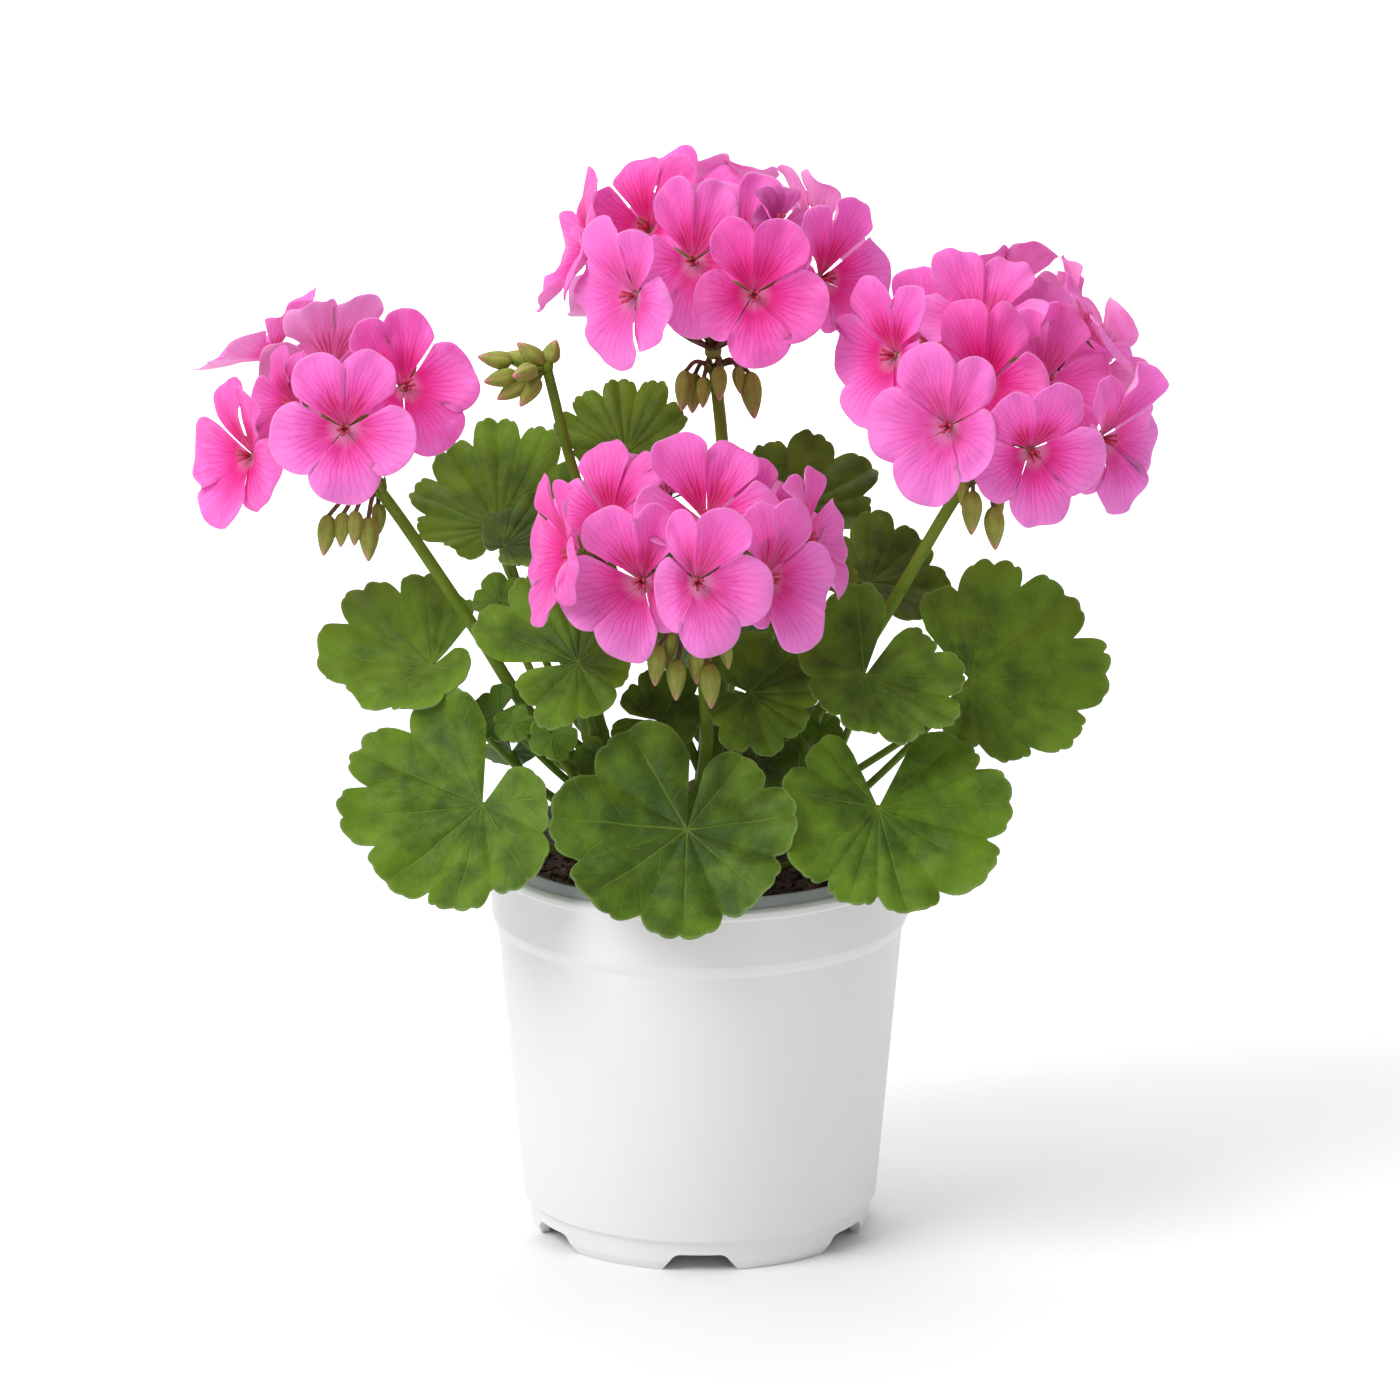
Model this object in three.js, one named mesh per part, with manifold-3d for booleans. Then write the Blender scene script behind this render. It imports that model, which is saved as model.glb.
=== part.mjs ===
// Potted zonal geranium: a white nursery pot, its potting soil, and a branching plant with
// scalloped leaves, four heads of pink florets and one cluster of young buds.
// Millimetres, +Z up. The front of the plant faces -Y, and +X is to its right.

import * as THREE from 'three';
import { mergeVertices } from 'three/addons/utils/BufferGeometryUtils.js';
import Module from 'manifold-3d';

const wasm = await Module();
wasm.setup();

// Driving dimensions
const POT_AXIS_X = 6.5;
const POT_HEIGHT = 119;
const RIM_RADIUS = 65;
const COLLAR_BOTTOM = 98;
const BODY_TOP_RADIUS = 62.6;
const BODY_FOOT_RADIUS = 54.8;
const STEP_TOP = 10.4;
const BASE_RADIUS = 51.2;
const POT_WALL = 2.3;
const FLOOR_TOP = 10.2;
const SOIL_TOP = 108.5;
const CLEARANCE = 0.35;
const STEM_RADIUS = 4.6;
const TRUNK_RADIUS = 6.2;
const PETIOLE_RADIUS = 1.3;
const STALK_RADIUS = 2;
const LEAF_THICKNESS = 0.9;
const FLORET_THICKNESS = 1;
const PETAL_LENGTH = 23;

// Colours and surfaces
const WHITE_PLASTIC = { color: 0xeceef0, roughness: 0.55 };
const PEAT = { color: 0x2e1c14, roughness: 0.95 };
const GREEN_STEM = { color: 0x6f7c2c, roughness: 0.6 };
const LEAF_GREEN = { color: 0x3f6a20, roughness: 0.6 };
const YOUNG_LEAF_GREEN = { color: 0x6c8f2f, roughness: 0.6 };
const PETAL_PINK = { color: 0xec5cb4, roughness: 0.6 };

const degrees = THREE.MathUtils.degToRad;
const point = (place) => new THREE.Vector3(...place);

// Turns a closed geometry into a solid, leaving out triangles that have shrunk to a line
function solid(geometry) {
  const bare = geometry.clone();
  bare.deleteAttribute('normal');
  bare.deleteAttribute('uv');
  const merged = mergeVertices(bare, 1e-4);
  const index = merged.index.array;
  const corners = [];
  for (let i = 0; i < index.length; i += 3) {
    const [a, b, c] = [index[i], index[i + 1], index[i + 2]];
    if (a !== b && b !== c && c !== a) corners.push(a, b, c);
  }
  return new wasm.Manifold(new wasm.Mesh({
    numProp: 3,
    vertProperties: new Float32Array(merged.attributes.position.array),
    triVerts: new Uint32Array(corners),
  }));
}

function fuse(solids) {
  return solids.reduce((whole, piece) => whole.add(piece));
}

function piece(name, body, surface) {
  const mesh = body.getMesh();
  const geometry = new THREE.BufferGeometry();
  geometry.setAttribute('position', new THREE.BufferAttribute(mesh.vertProperties, 3));
  geometry.setIndex(new THREE.BufferAttribute(mesh.triVerts, 1));
  geometry.computeVertexNormals();
  const node = new THREE.Mesh(geometry, new THREE.MeshStandardMaterial(surface));
  node.name = name;
  return node;
}

// A round stem along a curve, with few sides
function tube(curve, radius, steps, sides) {
  const section = new THREE.Shape();
  for (let i = 0; i < sides; i++) {
    const angle = (i / sides) * Math.PI * 2;
    const corner = [radius * Math.cos(angle), radius * Math.sin(angle)];
    if (i === 0) section.moveTo(...corner);
    else section.lineTo(...corner);
  }
  section.closePath();
  return solid(new THREE.ExtrudeGeometry(section, { steps, extrudePath: curve }));
}

// A closed body turned about Z from a profile that starts and ends on the axis
function turned(profile, segments) {
  const outline = profile.map(([radius, z]) => new THREE.Vector2(radius, z));
  const lathe = new THREE.LatheGeometry(outline, segments);
  lathe.rotateX(Math.PI / 2);
  return solid(lathe);
}

// Axes of a blade or floret that faces a bearing and a rise, both in degrees.
// The bearing runs from +X towards +Y.
function facing(bearing, rise) {
  const [a, e] = [degrees(bearing), degrees(rise)];
  const out = new THREE.Vector3(Math.cos(e) * Math.cos(a), Math.cos(e) * Math.sin(a), Math.sin(e));
  const down = new THREE.Vector3(Math.sin(e) * Math.cos(a), Math.sin(e) * Math.sin(a), -Math.cos(e));
  return { out, down };
}

// A thin blade in its own frame: rings of points [x, y, height] run outwards from the hub,
// and both faces are split into the same triangles
function blade(rings, thickness, closed) {
  const points = [[0, 0, 0]];
  const starts = rings.map((ring) => points.push(...ring) - ring.length);
  const at = (ring, i) => starts[ring] + (i % rings[ring].length);
  const spans = rings.map((ring) => (closed ? ring.length : ring.length - 1));
  const faces = [];
  for (let i = 0; i < spans[0]; i++) faces.push([0, at(0, i), at(0, i + 1)]);
  for (let ring = 1; ring < rings.length; ring++) {
    let [inner, outer] = [0, 0];
    while (inner < spans[ring - 1] || outer < spans[ring]) {
      const stepOuter = (outer + 1) / spans[ring] <= (inner + 1) / spans[ring - 1];
      if (stepOuter) {
        faces.push([at(ring - 1, inner), at(ring, outer), at(ring, outer + 1)]);
        outer += 1;
      } else {
        faces.push([at(ring - 1, inner), at(ring, outer), at(ring - 1, inner + 1)]);
        inner += 1;
      }
    }
  }
  const last = rings.length - 1;
  const edge = rings[last].map((_, i) => at(last, i));
  if (!closed) {
    const starting = rings.slice(0, last).map((_, ring) => at(ring, 0));
    const ending = rings.slice(0, last).map((_, ring) => at(ring, spans[ring])).reverse();
    edge.unshift(0, ...starting);
    edge.push(...ending);
  }
  const count = points.length;
  const corners = [];
  for (const [a, b, c] of faces) {
    corners.push(a, b, c);
    corners.push(a + count, c + count, b + count);
  }
  edge.forEach((from, i) => {
    const to = edge[(i + 1) % edge.length];
    corners.push(from, from + count, to + count, from, to + count, to);
  });
  const half = thickness / 2;
  const top = points.flatMap(([x, y, height]) => [x, y, height + half]);
  const bottom = points.flatMap(([x, y, height]) => [x, y, height - half]);
  const geometry = new THREE.BufferGeometry();
  geometry.setAttribute('position', new THREE.Float32BufferAttribute([...top, ...bottom], 3));
  geometry.setIndex(corners);
  return geometry;
}

// The nursery pot: moulded plastic with a deep collar under a rim band, a thin inner lip that
// stands above the rim, and a raised floor on a foot ring, which six drainage notches cross
const POT_SEGMENTS = 28;
const BAND_HEIGHT = 3.4;
const LIP_SETBACK = 2.6;
const LIP_RISE = 3.2;
const LIP_WIDTH = 1.1;
const FLOOR_THICKNESS = 2.6;
const FOOT_WIDTH = 2.6;
const NOTCH_COUNT = 6;
const NOTCH_HEIGHT = 5.6;
const NOTCH_TOP_WIDTH = 15.4;
const NOTCH_BOTTOM_WIDTH = 25;
const DRAIN_COUNT = 4;
const DRAIN_RADIUS = 4;
const DRAIN_CIRCLE = 32;

function notchOutline() {
  const [top, bottom] = [NOTCH_TOP_WIDTH / 2, NOTCH_BOTTOM_WIDTH / 2];
  const shoulder = NOTCH_HEIGHT - 1.4;
  const notch = new THREE.Shape();
  notch.moveTo(-bottom, -1);
  notch.lineTo(bottom, -1);
  notch.lineTo(top + 1.5, shoulder);
  notch.lineTo(top, NOTCH_HEIGHT);
  notch.lineTo(-top, NOTCH_HEIGHT);
  notch.lineTo(-top - 1.5, shoulder);
  notch.closePath();
  return notch;
}

function nurseryPot() {
  const floorBottom = FLOOR_TOP - FLOOR_THICKNESS;
  let pot = turned([
    [0, floorBottom],
    [BASE_RADIUS - FOOT_WIDTH + 0.8, floorBottom],
    [BASE_RADIUS - FOOT_WIDTH, 0],
    [BASE_RADIUS, 0],
    [BASE_RADIUS + 1.5, 3],
    [BASE_RADIUS + 2.2, STEP_TOP - 1],
    [BODY_FOOT_RADIUS, STEP_TOP],
    [BODY_TOP_RADIUS, COLLAR_BOTTOM - 1],
    [RIM_RADIUS - 0.5, COLLAR_BOTTOM + 3],
    [RIM_RADIUS - 0.5, POT_HEIGHT - BAND_HEIGHT],
    [RIM_RADIUS, POT_HEIGHT - BAND_HEIGHT + 0.5],
    [RIM_RADIUS, POT_HEIGHT - 1],
    [RIM_RADIUS - 1, POT_HEIGHT],
    [RIM_RADIUS - LIP_SETBACK + 0.8, POT_HEIGHT],
    [RIM_RADIUS - LIP_SETBACK, POT_HEIGHT + LIP_RISE],
    [RIM_RADIUS - LIP_SETBACK - LIP_WIDTH, POT_HEIGHT + LIP_RISE],
    [BODY_TOP_RADIUS - POT_WALL, COLLAR_BOTTOM],
    [BODY_FOOT_RADIUS - POT_WALL, FLOOR_TOP],
    [0, FLOOR_TOP],
  ], POT_SEGMENTS);
  for (let i = 0; i < NOTCH_COUNT; i++) {
    const notch = new THREE.ExtrudeGeometry(notchOutline(), { depth: 20, bevelEnabled: false });
    notch.translate(0, 0, BASE_RADIUS - 10);
    notch.rotateX(Math.PI / 2);
    notch.rotateZ((i / NOTCH_COUNT) * Math.PI * 2);
    pot = pot.subtract(solid(notch));
  }
  for (let i = 0; i < DRAIN_COUNT; i++) {
    const angle = ((i + 0.5) / DRAIN_COUNT) * Math.PI * 2;
    const drain = new THREE.CylinderGeometry(DRAIN_RADIUS, DRAIN_RADIUS, 2 * FLOOR_THICKNESS, 8);
    drain.rotateX(Math.PI / 2);
    const height = FLOOR_TOP - FLOOR_THICKNESS / 2;
    drain.translate(DRAIN_CIRCLE * Math.cos(angle), DRAIN_CIRCLE * Math.sin(angle), height);
    pot = pot.subtract(solid(drain));
  }
  return pot;
}

// The green stem: a short trunk in the soil that forks into a left, a right, a back and a
// front shoot
const SHOOTS = [
  { radius: TRUNK_RADIUS, path: [[0, 6, 72], [0, 6, 92], [0, 6, 108], [1, 5, 122]] },
  { radius: STEM_RADIUS, path: [[0, 6, 104], [-15, 3, 122], [-28, -1, 144], [-35, -3, 168]] },
  { radius: STEM_RADIUS, path: [[0, 6, 104], [15, 4, 121], [27, 0, 141], [32, -2, 160]] },
  { radius: STEM_RADIUS, path: [[0, 6, 110], [2, 12, 132], [4, 14, 152], [5, 15, 170]] },
  { radius: STEM_RADIUS, path: [[0, 6, 108], [-1, -5, 121], [0, -13, 133], [0, -18, 145]] },
];
const STEM_STEPS = 5;
const STEM_SIDES = 6;

function shootCurve(path) {
  return new THREE.CatmullRomCurve3(path.map(point));
}

function branchingStem(widening) {
  return fuse(SHOOTS.map(({ radius, path }) => (
    tube(shootCurve(path), radius + widening, STEM_STEPS, STEM_SIDES)
  )));
}

// The potting soil: coarse dark peat that fills the pot to just under the lip, uneven on
// top, with a plain hole where the trunk stands in it
const SOIL_SEGMENTS = 20;
const LUMP_HEIGHT = 1.2;

function pottingSoil() {
  const gap = POT_WALL + CLEARANCE + 0.3;
  const bottom = FLOOR_TOP + CLEARANCE;
  const lathe = new THREE.LatheGeometry([
    new THREE.Vector2(0, bottom),
    new THREE.Vector2(BODY_FOOT_RADIUS - gap, bottom),
    new THREE.Vector2(BODY_TOP_RADIUS - gap, COLLAR_BOTTOM),
    new THREE.Vector2(BODY_TOP_RADIUS - gap, SOIL_TOP),
    new THREE.Vector2(BODY_TOP_RADIUS * 0.64, SOIL_TOP),
    new THREE.Vector2(BODY_TOP_RADIUS * 0.32, SOIL_TOP),
    new THREE.Vector2(0, SOIL_TOP),
  ], SOIL_SEGMENTS);
  lathe.rotateX(Math.PI / 2);
  const places = lathe.attributes.position;
  for (let i = 0; i < places.count; i++) {
    const [x, y, z] = [places.getX(i), places.getY(i), places.getZ(i)];
    const lump = Math.sin(x * 0.31 + 0.5) * Math.cos(y * 0.27) + 0.5 * Math.sin(y * 0.5);
    if (z > SOIL_TOP - 1) places.setZ(i, z + LUMP_HEIGHT * lump);
  }
  return solid(lathe).subtract(branchingStem(CLEARANCE + 0.1));
}

// Where a petiole or a flower stalk grows from a shoot: the shoot's number, the height up
// its path from 0 to 1, and the bearing of the side it leaves from, square to the shoot but
// turned a little towards its tip. At 1 it grows on from the shoot's end.
const ROOT_DEPTH = 2.6;
const TURN_TO_TIP = 0.5;

function rootOn({ shoot, up, bearing }) {
  const { radius, path } = SHOOTS[shoot];
  const curve = shootCurve(path);
  const middle = curve.getPointAt(up);
  if (up === 1) {
    const onwards = curve.getTangentAt(1);
    return { start: middle.addScaledVector(onwards, -ROOT_DEPTH), away: onwards };
  }
  const along = curve.getTangentAt(up);
  const side = new THREE.Vector3(Math.cos(degrees(bearing)), Math.sin(degrees(bearing)), 0);
  side.addScaledVector(along, -side.dot(along)).normalize();
  const start = middle.addScaledVector(side, radius - ROOT_DEPTH);
  return { start, away: side.addScaledVector(along, TURN_TO_TIP).normalize() };
}

// The plain hole that a petiole or stalk of so many straight lengths stands in: it is wider
// by the clearance and runs along the first length
const SOCKET_LENGTH = 10;
const SOCKET_SIDES = 5;

function socket(curve, radius, steps) {
  const start = curve.getPointAt(0);
  const along = curve.getPointAt(1 / steps).sub(start).normalize();
  const bottom = start.clone().addScaledVector(along, -CLEARANCE - 0.4 * radius);
  const mouth = start.clone().addScaledVector(along, SOCKET_LENGTH);
  const width = (radius + CLEARANCE) / Math.cos(Math.PI / SOCKET_SIDES);
  return tube(new THREE.LineCurve3(bottom, mouth), width, 1, SOCKET_SIDES);
}

// A leaf: a stiff stalk, the petiole, and a rounded blade of shallow lobes with a scalloped
// edge, open at the sinus where the petiole meets it. Each lobe is [bearing, length] in the
// blade's own plane, seen from the front: 0 points down and the bearing grows to the right.
// The sinus lies between the end and the start of the edges.
const PETIOLE_SIDES = 4;
const PETIOLE_STEPS = 3;
const NOTCH_DEPTH = 0.13;
const STEPS_A_SCALLOP = 3;
const SCALLOP_DEPTH = 0.02;
const LARGE_LEAF = 33;
const MIDDLE_RING = 0.52;
const SEVEN_LOBES = [[-144, 0.8], [-98, 0.93], [-49, 1.02], [0, 1.06], [49, 1.02], [98, 0.93], [144, 0.8]];
const FIVE_LOBES = [[-132, 0.85], [-67, 0.95], [0, 1.06], [67, 0.95], [132, 0.85]];

const evenLeaf = (length, turn = 0) => ({
  edges: [turn - 168, turn + 168],
  lobes: (length > 20 ? SEVEN_LOBES : FIVE_LOBES).map(([bearing, share]) => [bearing + turn, share * length]),
});

const LEAVES = {
  leaf_front: {
    hub: [-4, -58, 143], faces: [-92, 38], edges: [-181, 166],
    lobes: [[-150, 36], [-94, 41], [-50, 38], [0, 36], [47, 32], [97, 33], [144, 29]],
    root: { shoot: 4, up: 0.45, bearing: -90 },
  },
  leaf_front_left: {
    hub: [-66, -45, 147], faces: [-105, 40], edges: [-173, 153],
    lobes: [[-151, 39], [-108, 43], [-78, 43], [-40, 38], [-3, 36], [38, 31], [101, 20]],
    root: { shoot: 1, up: 0.18, bearing: -140 },
  },
  leaf_front_right: {
    hub: [54, -48, 147], faces: [-78, 38], edges: [-164, 147],
    lobes: [[-145, 27], [-104, 30], [-55, 34], [-24, 34], [6, 36], [51, 39], [87, 40], [126, 34]],
    root: { shoot: 2, up: 0.15, bearing: -50 },
  },
  leaf_left: {
    hub: [-82, -13, 182], faces: [-118, 50], edges: [-200, 148],
    lobes: [[-182, 26], [-154, 34], [-124, 39], [-86, 38], [-46, 25], [-2, 17], [88, 13]],
    root: { shoot: 1, up: 0.34, bearing: -165 },
  },
  leaf_right: {
    hub: [83, -8, 176], faces: [-68, 35], edges: [-58, 213],
    lobes: [[-26, 21], [12, 28], [48, 36], [86, 44], [123, 44], [159, 38], [193, 30]],
    root: { shoot: 2, up: 0.3, bearing: 0 },
  },
  leaf_inner_right: {
    hub: [50, -35, 185], faces: [-85, 40], edges: [-202, 142],
    lobes: [[-178, 29], [-118, 21], [-57, 17], [-9, 19], [27, 26], [57, 31], [88, 30], [126, 23]],
    root: { shoot: 2, up: 0.62, bearing: -15 },
  },
  leaf_shaded: {
    hub: [15, -31, 178.5], faces: [-90, 32], edges: [-90, 244],
    lobes: [[-60, 14], [-17, 19], [18, 21], [54, 20], [90, 21], [133, 22], [178, 19], [220, 16]],
    root: { shoot: 4, up: 0.78, bearing: -20 },
  },
  leaf_ruffled: {
    hub: [52, 15, 201], faces: [-80, 52], edges: [21, 330],
    lobes: [[44, 22], [81, 25], [128, 23], [171, 25], [211, 17], [280, 10]],
    root: { shoot: 2, up: 0.8, bearing: 40 }, ruffle: 0.1,
  },
  leaf_upper_right: {
    hub: [29, 34, 219], faces: [-70, 45], edges: [2, 284],
    lobes: [[40, 14], [80, 24], [112, 31], [155, 27], [190, 24], [225, 20], [261, 13]],
    root: { shoot: 3, up: 0.6, bearing: 0 },
  },
  leaf_top: {
    hub: [-23, 30, 238], faces: [-100, 45], edges: [52, 347],
    lobes: [[98, 15], [131, 22], [164, 26], [192, 26], [220, 25], [247, 24], [290, 14]],
    root: { shoot: 3, up: 0.66, bearing: 150 },
  },
  leaf_upper_left: {
    hub: [-62, 14, 219], faces: [-108, 45], edges: [51, 345],
    lobes: [[98, 20], [130, 28], [165, 34], [193, 37], [223, 34], [254, 30], [281, 25], [312, 15]],
    root: { shoot: 1, up: 0.85, bearing: 140 },
  },
  leaf_behind_head: {
    hub: [-60, -13, 220], faces: [-75, 62], edges: [-27, 295],
    lobes: [[3, 9], [46, 13], [84, 21], [115, 27], [142, 25], [172, 15], [249, 6]],
    root: { shoot: 1, up: 1 },
  },
  leaf_inner_left: {
    hub: [-37, -38, 190], faces: [-100, 42], edges: [-79, 273],
    lobes: [[-56, 20], [-15, 24], [31, 19], [83, 16], [140, 18], [182, 24], [216, 32], [251, 34]],
    root: { shoot: 1, up: 0.85, bearing: -90 },
  },
  leaf_inner_front: {
    hub: [-12, -25, 168], faces: [-80, 35], edges: [-96, 256],
    lobes: [[-74, 16], [-20, 11], [54, 11], [104, 14], [147, 18], [188, 16], [228, 14]],
    root: { shoot: 4, up: 0.66, bearing: 180 },
  },
  leaf_small_inner: {
    hub: [18, -9, 151], faces: [-90, 45], ...evenLeaf(13, 30),
    root: { shoot: 0, up: 0.9, bearing: -60 },
  },
  leaf_small_right: {
    hub: [37, -20, 164], faces: [-80, 30], ...evenLeaf(7),
    root: { shoot: 2, up: 0.45, bearing: -40 },
  },
  leaf_small_upper: {
    hub: [41, -5, 210], faces: [-70, 30], ...evenLeaf(7, 60),
    root: { shoot: 2, up: 0.66, bearing: 120 },
  },
  leaf_small_left: {
    hub: [-61, -15, 203], faces: [-110, 45], ...evenLeaf(9, -150),
    root: { shoot: 1, up: 0.78, bearing: -150 },
  },
  young_leaf_a: {
    hub: [-61, -15, 168], faces: [-110, 40], ...evenLeaf(10, -40),
    root: { shoot: 1, up: 0.48, bearing: 165 },
  },
  young_leaf_b: {
    hub: [-57, -24, 167], faces: [-95, 35], ...evenLeaf(6.5, 20),
    root: { shoot: 1, up: 0.54, bearing: -75 },
  },
  young_leaf_c: {
    hub: [-45, -28, 164], faces: [-85, 35], ...evenLeaf(8, 10),
    root: { shoot: 1, up: 0.42, bearing: -135 },
  },
  leaf_turned_away: {
    hub: [-58, 5, 150], faces: [100, 50], ...evenLeaf(11, 0),
    root: { shoot: 1, up: 0.27, bearing: 140 },
  },
  leaf_low_left: {
    hub: [-31, -15, 154], faces: [-100, 40], ...evenLeaf(8, -20),
    root: { shoot: 1, up: 0.28, bearing: -60 },
  },
  leaf_back_left: {
    hub: [-94, 35, 178], faces: [140, 40], ...evenLeaf(24, 0),
    root: { shoot: 1, up: 0.4, bearing: 110 },
  },
  leaf_back: {
    hub: [12, 58, 173], faces: [92, 38], ...evenLeaf(30, 0),
    root: { shoot: 3, up: 0.35, bearing: 90 },
  },
  leaf_back_low: {
    hub: [21, 54, 141], faces: [80, 28], ...evenLeaf(25, 0),
    root: { shoot: 3, up: 0.18, bearing: 60 },
  },
  leaf_back_right: {
    hub: [95, 35, 172], faces: [45, 40], ...evenLeaf(28, 0),
    root: { shoot: 2, up: 0.4, bearing: 60 },
  },
  leaf_back_upper_left: {
    hub: [-58, 48, 215], faces: [125, 50], ...evenLeaf(23, 0),
    root: { shoot: 1, up: 0.75, bearing: 90 },
  },
  leaf_back_upper: {
    hub: [5, 52, 200], faces: [85, 42], ...evenLeaf(30, 0),
    root: { shoot: 3, up: 0.82, bearing: 60 },
  },
};

function leafSize({ lobes }) {
  return Math.max(...lobes.map(([, length]) => length));
}

// The rim, lobe by lobe: it bulges at each lobe's bearing and dips at the notches halfway
function leafRim({ edges, lobes }, scallops) {
  const steps = scallops * STEPS_A_SCALLOP;
  const rim = [];
  lobes.forEach(([bearing, length], lobe) => {
    const before = lobe === 0 ? edges[0] : (lobes[lobe - 1][0] + bearing) / 2;
    const after = lobe === lobes.length - 1 ? edges[1] : (bearing + lobes[lobe + 1][0]) / 2;
    const lastStep = lobe === lobes.length - 1 ? steps : steps - 1;
    for (let i = 0; i <= lastStep; i++) {
      const across = (i / steps) * 2 - 1;
      const halfLobe = across < 0 ? bearing - before : after - bearing;
      const angle = bearing + halfLobe * across;
      const neighbour = lobes[lobe + Math.sign(across)];
      const joined = neighbour ? (length + neighbour[1]) / 2 : length * 0.8;
      const reach = THREE.MathUtils.lerp(length, joined, across * across);
      const scallop = i % STEPS_A_SCALLOP === 0 ? -SCALLOP_DEPTH : SCALLOP_DEPTH;
      rim.push({ angle: degrees(angle), reach: reach * (1 - NOTCH_DEPTH * across ** 4 + scallop) });
    }
  });
  return rim;
}

// A leaf blade is a shallow bowl, pleated along its lobes and waved towards the rim
const BOWL = 0.1;
const PLEAT = 0.03;
const RUFFLE = 0.045;

function leafHeight(angle, reach, { size, ruffle = RUFFLE }) {
  const share = reach / size;
  const pleat = PLEAT * share * Math.cos(angle * 7);
  const wave = ruffle * share * share * Math.sin(angle * 3 + size);
  return size * (BOWL * share * share + pleat + wave);
}

// The petiole leaves the shoot in its own direction and meets the hub square to the blade
const PETIOLE_BEND = 0.22;
const PETIOLE_IN_BLADE = 0.1;

function petioleCurve({ hub, faces, root }) {
  const { out } = facing(...faces);
  const end = point(hub).addScaledVector(out, PETIOLE_IN_BLADE);
  const { start, away } = rootOn(root);
  const length = start.distanceTo(end);
  const leave = start.clone().addScaledVector(away, length * PETIOLE_BEND);
  const arrive = end.clone().addScaledVector(out, -length * PETIOLE_BEND);
  return new THREE.CubicBezierCurve3(start, leave, arrive, end);
}

function leaf(shape) {
  const size = leafSize(shape);
  const scallops = size > LARGE_LEAF ? 2 : 1;
  const rim = leafRim(shape, scallops);
  const middle = rim.filter((_, i) => i % (scallops * STEPS_A_SCALLOP) === 0)
    .map(({ angle, reach }) => ({ angle, reach: reach * MIDDLE_RING }));
  const place = ({ angle, reach }) => [
    reach * Math.cos(angle), reach * Math.sin(angle), leafHeight(angle, reach, { ...shape, size }),
  ];
  const geometry = blade([middle.map(place), rim.map(place)], LEAF_THICKNESS, false);
  const { out, down } = facing(...shape.faces);
  const side = out.clone().cross(down);
  geometry.applyMatrix4(new THREE.Matrix4().makeBasis(down, side, out).setPosition(point(shape.hub)));
  const petiole = tube(petioleCurve(shape), PETIOLE_RADIUS, PETIOLE_STEPS, PETIOLE_SIDES);
  return solid(geometry).add(petiole);
}

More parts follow.
